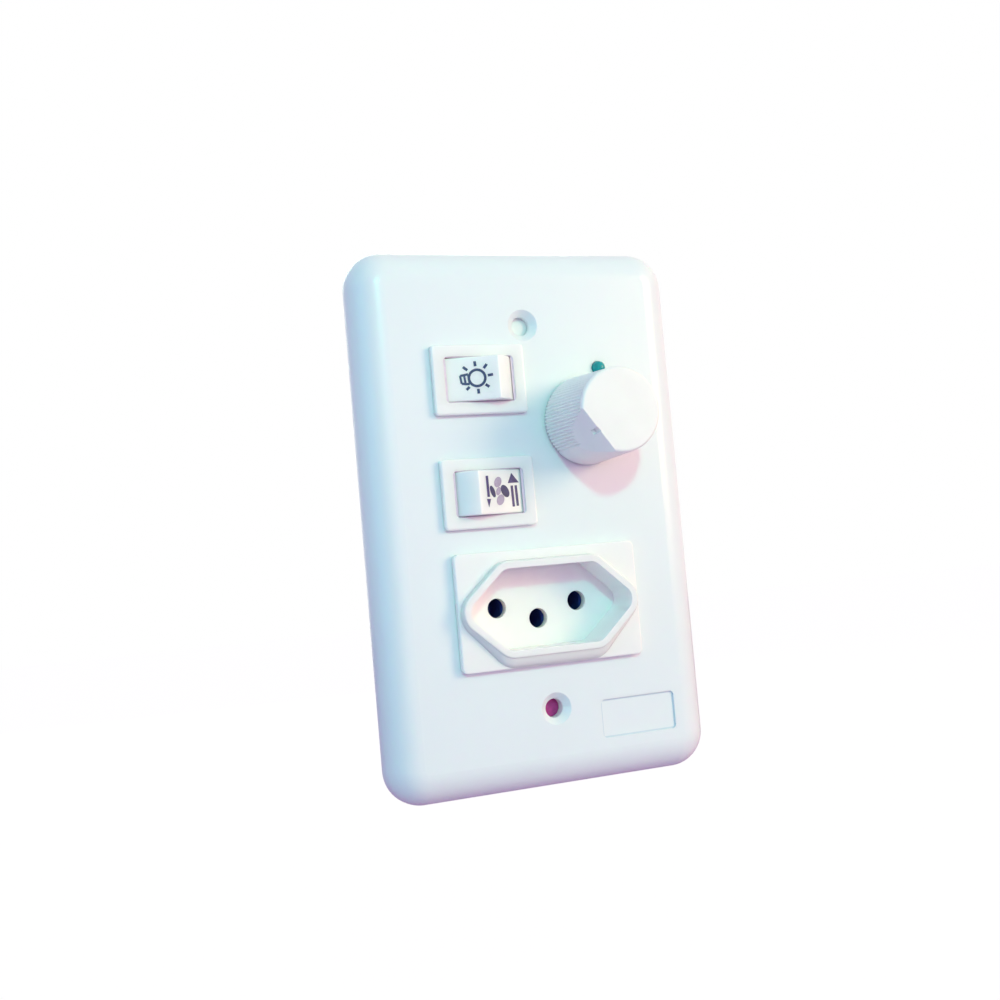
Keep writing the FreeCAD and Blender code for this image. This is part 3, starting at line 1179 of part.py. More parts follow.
def make_speed_knob():
    body = new_body("speed_knob", s.knob_x, s.knob_y)
    hollow_top = s.knob_lift + s.knob_hollow
    inner_foot = s.knob_base_radius - s.knob_skirt
    sketch = new_sketch(body, "knob_profile", plane="XZ")
    profile = [
        (0, hollow_top),
        (inner_foot - 0.2, hollow_top),
        (inner_foot, s.knob_lift),
        (s.knob_base_radius, s.knob_lift),
        (s.knob_top_radius, KNOB_TOP),
        (0, KNOB_TOP),
    ]
    outline(sketch, profile)
    turned = body.newObject("PartDesign::Revolution", "knob_turned")
    turned.Profile = sketch
    turned.ReferenceAxis = (sketch, ["V_Axis"])
    turned.Angle = 360
    doc.recompute()
    top = KNOB_TOP.value
    fillet(body, "knob_top_edge", turned, lambda edge: edge.BoundBox.ZMin > top - TOLERANCE, s.knob_top_edge)
    sketch = new_sketch(body, "bore_outline", lift=hollow_top)
    shaft_section(sketch, s.knob_bore_gap)
    pocket(body, "shaft_bore", sketch, s.shaft_reach + 0.2 - hollow_top, reverse=True)

    # One groove between two ribs, tapering with the knob, then all of them. The lower
    # side of the pointer is left smooth.
    taper = (s.knob_base_radius - s.knob_top_radius) / s.knob_height
    groove_ends = []
    for label, height in (("low", as_size(-0.2)), ("high", s.knob_height - s.groove_stop)):
        sketch = new_sketch(body, f"groove_{label}")
        turn = Rotation(Vector(0, 0, 1), s.groove_first.value)
        sketch.AttachmentOffset = FreeCAD.Placement(Vector(0, 0, 0), turn)
        bind(sketch, "AttachmentOffset.Rotation.Angle", s.groove_first)
        bind(sketch, "AttachmentOffset.Base.z", s.knob_lift + height)
        radius = s.knob_base_radius - taper * height
        outside = radius + s.groove_depth
        outline(sketch, [(radius - s.groove_depth, 0), (outside, -s.groove_width), (outside, s.groove_width)])
        groove_ends.append(sketch)
    groove = body.newObject("PartDesign::SubtractiveLoft", "groove")
    groove.Profile = groove_ends[0]
    groove.Sections = [groove_ends[1]]
    doc.recompute()
    ribs = body.newObject("PartDesign::PolarPattern", "ribs")
    ribs.Originals = [groove]
    ribs.Axis = (origin_feature(body, "Z_Axis"), [""])
    bind(ribs, "Angle", s.groove_span)
    bind(ribs, "Occurrences", s.knob_grooves)
    body.Tip = ribs
    doc.recompute()

    # The slanting pointer facet, and the notch in the middle of its upper edge. The
    # floor of the notch runs along the axis.
    foot_height = s.knob_lift + s.facet_foot_height
    lean = (s.facet_foot - s.facet_top) / (KNOB_TOP - foot_height)
    over = as_size(1)
    sketch = turned_sketch(body, "facet_outline", s.pointer_angle)
    beyond = s.knob_base_radius + 2
    facet = [
        (-(s.facet_top - lean * over), KNOB_TOP + over),
        (-(s.facet_foot + lean * over), foot_height - over),
        (-beyond, foot_height - over),
        (-beyond, KNOB_TOP + over),
    ]
    outline(sketch, facet)
    pocket(body, "pointer_facet", sketch, 4 * s.knob_base_radius, midplane=True)
    sketch = turned_sketch(body, "notch_outline", s.pointer_angle)
    notch = [
        (-(s.facet_top - s.notch_depth), KNOB_TOP + over),
        (-(s.facet_top - s.notch_depth), KNOB_TOP - s.notch_length),
        (-beyond, KNOB_TOP - s.notch_length),
        (-beyond, KNOB_TOP + over),
    ]
    outline(sketch, notch)
    pocket(body, "pointer_notch", sketch, s.notch_width, midplane=True)


def make_control_shaft():
    body = new_body("control_shaft", s.knob_x, s.knob_y)
    shaft_end = TRACK_FRONT + s.track_gap
    sketch = new_sketch(body, "shaft_outline", lift=shaft_end)
    circle(sketch, 0, 0, s.shaft)
    pad(body, "shaft_bar", sketch, s.shaft_flat_start - shaft_end)
    sketch = new_sketch(body, "flat_outline", lift=s.shaft_flat_start)
    shaft_section(sketch, as_size(0))
    pad(body, "shaft_flat", sketch, s.shaft_reach - s.shaft_flat_start)
    sketch = new_sketch(body, "rotor_outline", lift=WIPER_FRONT)
    circle(sketch, 0, 0, s.rotor)
    pad(body, "rotor_disc", sketch, s.rotor_thickness)


def make_control_wiper():
    """A sprung strip under the rotor that bridges the track, with a hole for the shaft."""
    body = new_body("control_wiper", s.knob_x, s.knob_y)
    sketch = new_sketch(body, "wiper_outline", lift=WIPER_FRONT - s.wiper_thickness)
    rectangle(sketch, 0, 0, s.rotor - 1.6, s.shaft + 1.6)
    strip = pad(body, "wiper_strip", sketch, s.wiper_thickness)
    fillet(body, "wiper_ends", strip, lambda edge: runs_along(edge, Vector(0, 0, 1)), 1.5)
    sketch = new_sketch(body, "wiper_hole_outline", lift=WIPER_FRONT)
    circle(sketch, 0, 0, s.shaft + 0.1)
    pocket(body, "wiper_hole", sketch, 2 * s.wiper_thickness)


def make_control_bushing():
    body = new_body("control_bushing", s.knob_x, s.knob_y)
    sketch = new_sketch(body, "flange_outline", lift=CAN_FRONT)
    circle(sketch, 0, 0, s.can)
    pad(body, "flange", sketch, s.bushing_flange)
    sketch = new_sketch(body, "bushing_outline", lift=CAN_FRONT)
    circle(sketch, 0, 0, s.bushing)
    neck = pad(body, "bushing", sketch, s.bushing_reach - CAN_FRONT)
    reach = s.bushing_reach.value
    end = body.newObject("PartDesign::Chamfer", "bushing_end")
    end.Base = (neck, edge_names(neck, lambda edge: edge.BoundBox.ZMin > reach - TOLERANCE))
    end.Size = 0.25
    doc.recompute()
    sketch = new_sketch(body, "bushing_bore_outline", lift=s.bushing_reach)
    circle(sketch, 0, 0, s.shaft + 2 * s.shaft_gap)
    pocket(body, "bushing_bore", sketch, s.bushing_reach - CAN_FRONT)


def make_control_can():
    """The pressed case round the rotor, open in front and slotted for the track wafer."""
    body = new_body("control_can", s.knob_x, s.knob_y)
    sketch = new_sketch(body, "can_outline", lift=CAN_FRONT - s.can_depth)
    circle(sketch, 0, 0, s.can)
    can = pad(body, "can", sketch, s.can_depth)
    back = (CAN_FRONT - s.can_depth).value
    fillet(body, "can_edge", can, lambda edge: edge.BoundBox.ZMax < back + TOLERANCE, 0.6)
    sketch = new_sketch(body, "can_inside_outline", lift=CAN_FRONT)
    circle(sketch, 0, 0, s.can - 2 * s.can_wall)
    pocket(body, "can_inside", sketch, s.can_depth - s.can_wall)
    sketch = new_sketch(body, "can_window_outline", lift=CAN_FRONT)
    window_depth = CAN_FRONT - TRACK_FRONT + s.track_thickness + 0.1
    rectangle(sketch, 0, -s.can / 2, s.track_tab_width + 0.3, s.can * 0.55)
    pocket(body, "can_window", sketch, window_depth)


def make_control_track():
    body = new_body("control_track", s.knob_x, s.knob_y)
    low = TRACK_FRONT - s.track_thickness
    sketch = new_sketch(body, "wafer_outline", lift=low)
    circle(sketch, 0, 0, s.can - 2 * s.can_wall - 0.1)
    pad(body, "wafer", sketch, s.track_thickness)
    sketch = new_sketch(body, "wafer_tab_outline", lift=low)
    tab_top = as_size(-2)
    rectangle(sketch, 0, (tab_top - s.track_tab_reach) / 2, s.track_tab_width, s.track_tab_reach + tab_top)
    pad(body, "wafer_tab", sketch, s.track_thickness)


def make_control_pins():
    """Three flat pins clenched behind the wafer and bent back through the board."""
    depth = s.track_thickness - TRACK_FRONT
    z_out = s.knob_y - s.track_tab_reach + 1
    pins = []
    for number in (-1, 0, 1):
        x = s.knob_x + number * s.control_pin_pitch - s.control_pin / 2
        foot = block(f"control_pin_foot_{number + 1}", x, z_out, depth, s.control_pin, 2.4, 0.5)
        reach = s.board_front + s.board_thickness + s.lead_tail - depth
        tail = block(f"control_pin_tail_{number + 1}", x, z_out, depth, s.control_pin, 0.5, reach)
        pins.append(joined(f"control_pin_{number + 1}", [foot, tail]))
    keep(group("pins", pins), "control_pins")


def make_bushing_nut():
    body = new_body("bushing_nut", s.knob_x, s.knob_y)
    sketch = new_sketch(body, "nut_outline", lift=s.washer_thickness)
    corner = s.nut_flats / 2 / cosine(30)
    outline(sketch, [(corner * cosine(60 * step), corner * sine(60 * step)) for step in range(6)])
    pad(body, "nut", sketch, s.nut_thickness)
    sketch = new_sketch(body, "nut_bore_outline", lift=s.washer_thickness + s.nut_thickness)
    circle(sketch, 0, 0, s.bushing + 2 * s.screw_gap)
    pocket(body, "nut_bore", sketch, s.nut_thickness)


def make_speed_control():
    make_speed_knob()
    make_control_shaft()
    make_control_wiper()
    make_control_bushing()
    make_control_can()
    make_control_track()
    make_control_pins()
    make_bushing_nut()
    ring = rod("washer_blank", s.knob_x, s.knob_y, -s.washer_thickness, s.washer, s.washer_thickness, "y")
    through = 3 * s.washer_thickness
    hole = rod("washer_hole", s.knob_x, s.knob_y, -2 * s.washer_thickness, s.bushing + 0.4, through, "y")
    keep(drilled("washer", ring, hole), "bushing_washer")


# The pilot lamp

def make_pilot_lamp():
    body = new_body("pilot_lamp", s.lamp_x, s.lamp_y)
    back = -s.plate_wall - 0.1 - s.lamp_flange_thickness
    sketch = new_sketch(body, "lamp_flange_outline", lift=back)
    circle(sketch, 0, 0, s.lamp_flange)
    pad(body, "lamp_flange", sketch, s.lamp_flange_thickness)
    sketch = new_sketch(body, "lamp_outline", lift=back)
    circle(sketch, 0, 0, s.lamp)
    lens = pad(body, "lamp_lens", sketch, s.lamp_proud - back)
    front = s.lamp_proud.value
    chosen = flat_at(front, s.lamp / 2, s.lamp / 2)
    fillet(body, "lamp_dome", lens, chosen, s.lamp / 2 - 0.1)
    length = s.board_front + s.board_thickness + s.lead_tail + back
    leads = [
        block(
            f"lamp_lead_{side + 1}", s.lamp_x + side * s.lamp_lead_pitch / 2 - 0.25, s.lamp_y - 0.25, -back,
            as_size(0.5), as_size(0.5), length,
        )
        for side in (-1, 1)
    ]
    keep(group("lamp_leads", leads), "pilot_lamp_leads")


# The circuit board and what stands on its back

BOARD_BACK = s.board_front + s.board_thickness
BLOCK_WAYS = 3
TRIAC_X = BOARD_RIGHT - s.triac_inset
RESISTOR_X = BOARD_RIGHT - s.resistor_inset
LAMP_RESISTOR_X = BOARD_RIGHT - s.lamp_resistor_inset


def resistor_holes():
    half = s.resistor_span / 2
    upright_x = [RESISTOR_X, RESISTOR_X + s.resistor_pitch]
    places = [(x, s.resistor_y + side * half) for x in upright_x for side in (-1, 1)]
    places += [(LAMP_RESISTOR_X + side * half, s.upper_row_y) for side in (-1, 1)]
    places += [(s.diode_x + side * half, s.upper_row_y) for side in (-1, 1)]
    return places


def capacitor_holes():
    middle = s.capacitor_y + s.capacitor_height / 2
    places = [(s.capacitor_x + 2, middle), (s.capacitor_x + s.capacitor_width - 2, middle)]
    timing_x = s.timing_x + s.timing_width / 2
    places += [(timing_x, s.timing_y + 1.1), (timing_x, s.timing_y + s.timing_height - 1.1)]
    return places


def triac_holes():
    x = TRIAC_X + s.triac_thickness - 1.6
    middle = s.triac_y + s.triac_width / 2
    return [(x, middle + step * 2.54) for step in (-1, 0, 1)]


def block_holes():
    z = s.block_y + s.block_height / 2
    return [(s.block_x + s.block_pitch * (number + 0.5), z) for number in range(BLOCK_WAYS)]


def choke_holes():
    x = s.choke_x + s.choke_outer / 2 + 0.9
    return [(x, s.choke_y - 2.5), (x, s.choke_y + 2.5)]


def pin_holes():
    z = s.knob_y - s.track_tab_reach + 1.25
    return [(s.knob_x + number * s.control_pin_pitch, z) for number in (-1, 0, 1)]


def lamp_holes():
    return [(s.lamp_x + side * s.lamp_lead_pitch / 2, s.lamp_y) for side in (-1, 1)]


def make_circuit_board():
    body = new_body("circuit_board")
    sketch = new_sketch(body, "board_outline", lift=-BOARD_BACK)
    middle_x = s.board_left + s.board_width / 2
    middle_y = s.board_bottom + s.board_height / 2
    rectangle(sketch, middle_x, middle_y, s.board_width, s.board_height)
    board = pad(body, "board", sketch, s.board_thickness)
    fillet(body, "board_corners", board, lambda edge: runs_along(edge, Vector(0, 0, 1)), 1.0)
    sketch = new_sketch(body, "lead_hole_outline", lift=-s.board_front)
    lead_hole = s.lead + 2 * s.lead_gap
    lead_holes = resistor_holes() + capacitor_holes() + triac_holes()
    lead_holes += block_holes() + choke_holes() + lamp_holes()
    for x, y in lead_holes:
        circle(sketch, x, y, lead_hole)
    for x, y in pin_holes():
        circle(sketch, x, y, s.control_pin + 0.5)
    for x, y in POST_PLACES:
        circle(sketch, x, y, s.board_screw + 0.3)
    pocket(body, "board_holes", sketch, s.board_thickness)


def straight_leads(name, places, start):
    """Round leads from behind the board through their holes."""
    length = start - s.board_front + s.lead_tail
    return [
        rod(f"{name}_lead_{number}", x, z, s.board_front - s.lead_tail, s.lead, length, "y")
        for number, (x, z) in enumerate(places)
    ]


def make_axial(name, x, z, along, diameter, length):
    """A small round body lying on the board with a bent lead at each end."""
    axis_depth = BOARD_BACK + s.resistor_lift
    half = s.resistor_span / 2
    pieces = []
    if along == "x":
        body = rod(f"{name}_body", x - length / 2, z, axis_depth, diameter, length, "x")
        wire = rod(f"{name}_wire", x - half, z, axis_depth, s.lead - 0.1, s.resistor_span, "x")
        ends = [(x - half, z), (x + half, z)]
    else:
        body = rod(f"{name}_body", x, z - length / 2, axis_depth, diameter, length, "z")
        wire = rod(f"{name}_wire", x, z - half, axis_depth, s.lead - 0.1, s.resistor_span, "z")
        ends = [(x, z - half), (x, z + half)]
    pieces = [body, wire] + straight_leads(name, ends, axis_depth + s.lead / 2)
    return joined(name, pieces)


def make_choke():
    """A ring core with a wire wound round it, and the two wire ends through the board."""
    front = BOARD_BACK + s.choke_lift
    core = rod("core_blank", s.choke_x, s.choke_y, front, s.choke_outer, s.choke_height, "y")
    hole = rod("core_hole", s.choke_x, s.choke_y, front - 1, s.choke_inner, s.choke_height + 2, "y")
    keep(drilled("core", core, hole), "choke_core")
    turns = int(s.choke_turns.value)
    gap = 0.1
    inner = s.choke_inner / 2 - gap - s.choke_wire
    outer = s.choke_outer / 2 + gap + s.choke_wire
    low = front - gap - s.choke_wire
    height = s.choke_height + 2 * gap + 2 * s.choke_wire
    loops = []
    for number in range(turns):
        angle = (number + 0.5) * 300 / turns + 30
        outside = block(f"turn_out_{number}", 0, 0, 0, 1, 1, 1)
        inside = block(f"turn_in_{number}", 0, 0, 0, 1, 1, 1)
        for box, inset in ((outside, as_size(0)), (inside, s.choke_wire)):
            wire = s.choke_wire if box is outside else s.choke_wire * 1.5
            bind(box, "Length", outer - inner - 2 * inset)
            bind(box, "Height", wire)
            bind(box, "Width", height - 2 * inset)
            box.Placement = FreeCAD.Placement(Vector(0, 0, 0), Rotation(Vector(0, 1, 0), -angle))
            start = inner + inset
            across = wire / 2
            bind(box, "Placement.Base.x", s.choke_x + start * cosine(angle) + across * sine(angle))
            bind(box, "Placement.Base.y", low + inset - s.plate_depth)
            bind(box, "Placement.Base.z", s.choke_y + start * sine(angle) - across * cosine(angle))
        loops.append(drilled(f"turn_{number}", outside, inside))
    tails = straight_leads("choke", choke_holes(), BOARD_BACK + s.choke_lift)
    keep(group("winding", loops + tails), "choke_winding")


def make_triac():
    x, z = TRIAC_X, s.triac_y
    front = BOARD_BACK + s.triac_lift
    tab_x = x + s.triac_thickness - s.triac_tab_thickness
    case = block("triac_case", x, z, front, s.triac_thickness, s.triac_width, s.triac_case)
    tab_length = s.triac_case + s.triac_tab
    tab = block("triac_tab", tab_x, z, front, s.triac_tab_thickness, s.triac_width, tab_length)
    legs = straight_leads("triac", triac_holes(), front + 1)
    whole = joined("triac_whole", [case, tab] + legs)
    hole_depth = front + s.triac_case + s.triac_tab / 2
    middle = z + s.triac_width / 2
    through = s.triac_tab_thickness + 2
    hole = rod("triac_hole", tab_x - 1, middle, hole_depth, s.sink_screw + 0.6, through, "x")
    keep(drilled("triac_drilled", whole, hole), "triac")

    sink_x = x + s.triac_thickness
    sink_low = middle - s.sink_height / 2
    plate = block(
        "sink_plate", sink_x, sink_low, BOARD_BACK + 1, s.sink_thickness, s.sink_height, s.sink_depth
    )
    sink_through = s.sink_thickness + 2
    sink_hole = rod("sink_hole", sink_x - 1, middle, hole_depth, s.sink_screw + 0.1, sink_through, "x")
    keep(drilled("sink_drilled", plate, sink_hole), "heat_sink")
    head_x = tab_x - s.sink_head_height
    head = rod("sink_screw_head", head_x, middle, hole_depth, s.sink_head, s.sink_head_height, "x")
    length = s.triac_tab_thickness + s.sink_thickness + s.sink_head_height / 2
    shank_x = head_x + s.sink_head_height / 2
    shank = rod("sink_screw_shank", shank_x, middle, hole_depth, s.sink_screw, length, "x")
    keep(joined("sink_screw_whole", [head, shank]), "heat_sink_screw")


def make_terminal_block():
    width = s.block_pitch * BLOCK_WAYS
    base = block("terminal_base", s.block_x, s.block_y, BOARD_BACK, width, s.block_height, s.block_depth)
    screws = []
    openings = []
    for number in range(BLOCK_WAYS):
        x = s.block_x + s.block_pitch * (number + 0.5)
        z = s.block_y + s.block_height / 2
        back = BOARD_BACK + s.block_depth
        openings.append(rod(f"terminal_well_{number}", x, z, back - 5, 3.8, 6, "y"))
        openings.append(
            block(f"terminal_mouth_{number}", x - 1.5, s.block_y - 1, back - 8.5, 3, s.block_height / 2, 3)
        )
        head, head_height, shank, length = (as_size(size) for size in (3.4, 1.6, 2.4, 0.6))
        screws.append(
            slotted_screw(f"terminal_screw_{number}", x, z, back - 4, head, head_height, shank, length)
        )
    pins = straight_leads("terminal", block_holes(), BOARD_BACK + 0.4)
    wells = joined("terminal_wells", openings)
    body = joined("terminal_body", [drilled("terminal_case", base, wells)] + pins)
    keep(body, "terminal_block")
    keep(group("terminal_screws", screws), "terminal_block_screws")


def make_board():
    make_circuit_board()
    make_choke()
    make_triac()
    make_terminal_block()
    film = block(
        "film", s.capacitor_x, s.capacitor_y, BOARD_BACK,
        s.capacitor_width, s.capacitor_height, s.capacitor_depth
    )
    timing = block(
        "timing", s.timing_x, s.timing_y, BOARD_BACK, s.timing_width, s.timing_height, s.timing_depth
    )
    film_leads = straight_leads("film", capacitor_holes()[:2], BOARD_BACK + 0.5)
    timing_leads = straight_leads("timing", capacitor_holes()[2:], BOARD_BACK + 0.5)
    keep(joined("film_whole", [film] + film_leads), "filter_capacitor")
    keep(joined("timing_whole", [timing] + timing_leads), "timing_capacitor")
    uprights = [
        make_axial(f"resistor_{number}", RESISTOR_X + number * s.resistor_pitch, s.resistor_y, "z",
                   s.resistor, s.resistor_length)
        for number in range(2)
    ]
    keep(group("resistor_pair", uprights), "gate_resistors")
    keep(
        make_axial("lamp_dropper", LAMP_RESISTOR_X, s.upper_row_y, "x", s.resistor, s.resistor_length),
        "lamp_resistor"
    )
    keep(make_axial("trigger", s.diode_x, s.upper_row_y, "x", s.diode, s.diode_length), "trigger_diode")
    screws = [
        slotted_screw(f"board_screw_{number}", x, z, BOARD_BACK, s.board_head, s.board_head_height,
                      s.board_screw, s.board_screw_length)
        for number, (x, z) in enumerate(POST_PLACES)
    ]
    keep(group("board_screw_pair", screws), "board_screws")


make_face_plate()
make_switch("light_switch", s.light_y, -1, [1])
make_switch("reverse_switch", s.reverse_y, 1, [-1, 1])
make_socket()
make_speed_control()
make_pilot_lamp()
make_board()
doc.recompute()

for thing in doc.Objects:
    if "Invalid" in thing.State or "Error" in thing.State:
        raise ValueError(f"{thing.Label} failed: {thing.State}")
for node in NODES:
    if node.Shape.isNull() or not node.Shape.isValid() or not node.Shape.Solids:
        raise ValueError(f"{node.Label} has no sound solid")

os.makedirs("parts", exist_ok=True)
for node in NODES:
    node.Shape.exportStep(f"parts/{node.Label}.step")
    print(node.Label, len(node.Shape.Solids), round(node.Shape.Volume, 2))
print("nodes", len(NODES))
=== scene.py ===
# %% [markdown]
# The object is a wall control for a ceiling fan: one white plate with two rockers, a speed
# knob, a pilot lamp and a socket, and the works behind it. The CAD part arrives as the
# frame, with each moulding, screw and component at its true size on the body it moves
# with. This notebook gives each one its finish, models what a CAD part leaves plain, such
# as the wound choke, the solder and the printed signs, and lights it as in the photograph.

# %% Load the CAD part
import math

import bmesh
import bpy
from mathutils import Matrix, Vector


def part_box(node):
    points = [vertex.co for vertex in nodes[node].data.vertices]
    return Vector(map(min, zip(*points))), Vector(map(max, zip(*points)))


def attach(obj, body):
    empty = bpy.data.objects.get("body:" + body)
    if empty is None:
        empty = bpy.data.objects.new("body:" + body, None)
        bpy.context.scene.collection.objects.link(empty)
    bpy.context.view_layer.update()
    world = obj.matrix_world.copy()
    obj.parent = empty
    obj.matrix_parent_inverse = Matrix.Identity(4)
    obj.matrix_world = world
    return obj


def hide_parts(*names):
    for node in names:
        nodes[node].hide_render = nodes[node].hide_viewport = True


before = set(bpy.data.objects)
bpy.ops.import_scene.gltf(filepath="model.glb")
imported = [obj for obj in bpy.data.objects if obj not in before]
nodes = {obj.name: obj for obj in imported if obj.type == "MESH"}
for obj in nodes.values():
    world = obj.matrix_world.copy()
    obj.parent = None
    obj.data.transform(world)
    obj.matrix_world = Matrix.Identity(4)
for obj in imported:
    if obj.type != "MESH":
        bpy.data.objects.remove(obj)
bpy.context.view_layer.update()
MM = 0.001

# %% [markdown]
# The camera stands where the photograph was taken: to the left of the plate and a little
# below its middle, with the plate leaning a few degrees. A camera could be placed by eye,
# but the lens and the place were solved from the plate's corners and holes, so that each
# piece lands where it does in the picture.

# %% Camera
SENSOR_WIDTH = 36.0
LENS = 44.885
CAMERA_PLACE = (-0.106183, -0.256044, -0.009195)
CAMERA_DEGREES = (92.829, 5.032, -21.181)
camera_data = bpy.data.cameras.new("camera")
camera_data.sensor_width = SENSOR_WIDTH
camera_data.lens = LENS
camera = bpy.data.objects.new("camera", camera_data)
camera.location = CAMERA_PLACE
camera.rotation_euler = [math.radians(angle) for angle in CAMERA_DEGREES]
bpy.context.scene.collection.objects.link(camera)
bpy.context.scene.camera = camera
print("camera at", tuple(camera.location), "lens", camera_data.lens)

# %% [markdown]
# The photograph has one warm light from the right, one small cool light from above, whose
# edge shows in the knob's shadow, and large soft lights that fill in from the left, the
# front and behind. A picture of a studio on the world could light it as well, but five
# area lamps can be moved and tinted one by one. Their colours add up to nearly white on
# the front of the plate, so that a colour renders there about as it is written, and only
# the sides and the shadows take a tint.

# %% Lamps
def add_lamp(name, place, size, power, colour):
    """A soft lamp that faces the middle of the object; size in metres, power in watts."""
    data = bpy.data.lights.new(name, "AREA")
    data.shape = "RECTANGLE"
    data.size, data.size_y = size
    data.energy = power
    data.color = colour
    lamp = bpy.data.objects.new(name, data)
    lamp.location = place
    lamp.rotation_euler = (-Vector(place)).to_track_quat("-Z", "Y").to_euler()
    bpy.context.scene.collection.objects.link(lamp)
    print("lamp", name, power, "W")


add_lamp("right_window", (0.62, -0.60, 0.22), (0.38, 0.38), 4.5, (1.0, 0.72, 0.42))
add_lamp("small_lamp_above", (-0.19, -0.95, 0.42), (0.07, 0.07), 3.65, (0.08, 1.0, 0.72))
add_lamp("left_fill", (-1.10, -0.35, 0.15), (0.8, 0.8), 2.2, (0.10, 0.78, 1.0))
add_lamp("front_fill", (0.0, -1.40, -0.05), (1.0, 1.0), 3.6, (1.0, 0.46, 0.75))
add_lamp("back_fill", (0.15, 1.20, 0.30), (0.9, 0.9), 6.0, (0.85, 1.0, 0.75))

# %% [markdown]
# The world, the floor and every finish are trees of nodes. They could be put together by
# hand in the shader editor, but here two small tools do it: one adds a node with its
# settings, and one tells a ray that shows the surroundings from a ray that only lights.

# %% Tools for node trees
def add_node(tree, kind, **settings):
    """A new node with its settings."""
    node = tree.nodes.new(kind)
    for name, value in settings.items():
        setattr(node, name, value)
    return node


def seen_ray(tree):
    """1 for rays that show the surroundings: camera, glossy and transmission rays."""
    path = add_node(tree, "ShaderNodeLightPath")
    total = path.outputs["Is Camera Ray"]
    for other in ("Is Glossy Ray", "Is Transmission Ray"):
        either = add_node(tree, "ShaderNodeMath", operation="MAXIMUM")
        tree.links.new(total, either.inputs[0])
        tree.links.new(path.outputs[other], either.inputs[1])
        total = either.outputs[0]
    return total


print("node tools ready")

# %% [markdown]
# The world is the fill. A single colour would do both jobs at once, but what a camera sees
# of it, directly or in glass and metal, has to be plain white, as behind the object in the
# photograph, while the dim violet part only lights. So it mixes two backgrounds.

# %% World
FILL_COLOUR = (0.86, 0.67, 0.96, 1)
FILL_STRENGTH = 0.56
world = bpy.data.worlds.new("studio")
bpy.context.scene.world = world
world.use_nodes = True
world_tree = world.node_tree
world_tree.nodes.clear()
fill = add_node(world_tree, "ShaderNodeBackground")
fill.inputs["Color"].default_value = FILL_COLOUR
fill.inputs["Strength"].default_value = FILL_STRENGTH
shown = add_node(world_tree, "ShaderNodeBackground")
shown.inputs["Color"].default_value = (1, 1, 1, 1)
shown.inputs["Strength"].default_value = 1.0
choice = add_node(world_tree, "ShaderNodeMixShader")
world_out = add_node(world_tree, "ShaderNodeOutputWorld")
world_tree.links.new(seen_ray(world_tree), choice.inputs[0])
world_tree.links.new(fill.outputs[0], choice.inputs[1])
world_tree.links.new(shown.outputs[0], choice.inputs[2])
world_tree.links.new(choice.outputs[0], world_out.inputs["Surface"])
bpy.context.scene.view_settings.view_transform = "Standard"
print("world strength", fill.inputs["Strength"].default_value)

# %% [markdown]
# The floor is a plain pale sheet under the object. A sheet that curves up behind it would
# hide the horizon, but this one is as white to the camera as the world is, so a single
# flat grid is enough.

# %% Floor sheet
FLOOR_HEIGHT = -0.16
FLOOR_REACH = 3.0
floor_form = bmesh.new()
bmesh.ops.create_grid(floor_form, x_segments=1, y_segments=1, size=FLOOR_REACH)
bmesh.ops.translate(floor_form, verts=floor_form.verts, vec=(0, 0, FLOOR_HEIGHT))
floor_mesh = bpy.data.meshes.new("floor")
floor_form.to_mesh(floor_mesh)
floor_form.free()
floor = bpy.data.objects.new("floor", floor_mesh)
bpy.context.scene.collection.objects.link(floor)
print("floor at", FLOOR_HEIGHT)

# %% [markdown]
# Under a bright light pale paper comes out nearly white. A diffuse floor alone would render
# darker towards its edges, so the camera sees mostly a plain glow. A small share of the
# floor's own shading is left in it, for the object's shadow to stay on.

# %% Floor finish
FLOOR_COLOUR = (0.50, 0.35, 0.54, 1)
FLOOR_GLOW = 1.04
GLOW_SHARE = 0.95
pale_floor = bpy.data.materials.new("pale_floor")
pale_floor.use_nodes = True
floor_tree = pale_floor.node_tree
floor_tree.nodes.clear()
floor_shade = add_node(floor_tree, "ShaderNodeBsdfDiffuse")
floor_shade.inputs["Color"].default_value = FLOOR_COLOUR
floor_glow = add_node(floor_tree, "ShaderNodeEmission")
floor_glow.inputs["Strength"].default_value = FLOOR_GLOW
floor_path = add_node(floor_tree, "ShaderNodeLightPath")
floor_part = add_node(floor_tree, "ShaderNodeMath", operation="MULTIPLY")
floor_part.inputs[1].default_value = GLOW_SHARE
floor_choice = add_node(floor_tree, "ShaderNodeMixShader")
floor_out = add_node(floor_tree, "ShaderNodeOutputMaterial")
floor_tree.links.new(floor_path.outputs["Is Camera Ray"], floor_part.inputs[0])
floor_tree.links.new(floor_part.outputs[0], floor_choice.inputs[0])
floor_tree.links.new(floor_shade.outputs[0], floor_choice.inputs[1])
floor_tree.links.new(floor_glow.outputs[0], floor_choice.inputs[2])
floor_tree.links.new(floor_choice.outputs[0], floor_out.inputs["Surface"])
floor_mesh.materials.append(pale_floor)
print("floor glow", FLOOR_GLOW)

# %% [markdown]
# Every finish here is one Principled shader fed by a few noises. The widest shifts the
# colour a little, as real plastic and metal are never one flat tone, a smaller one varies
# the gloss, and a fine one lifts the surface by a few thousandths of a millimetre. Image
# textures could do this too, but noises on object coordinates need no unwrapping and stay
# sharp at any distance.

# %% Noises measured in millimetres
NOISE_LOW, NOISE_HIGH = 0.3, 0.7


def in_millimetres(tree):
    """Object coordinates in millimetres, so that a pattern's size reads as on the part."""
    source = add_node(tree, "ShaderNodeTexCoord")
    scaled = add_node(tree, "ShaderNodeMapping")
    scaled.inputs["Scale"].default_value = (1000.0, 1000.0, 1000.0)
    tree.links.new(source.outputs["Object"], scaled.inputs["Vector"])
    return scaled.outputs["Vector"]


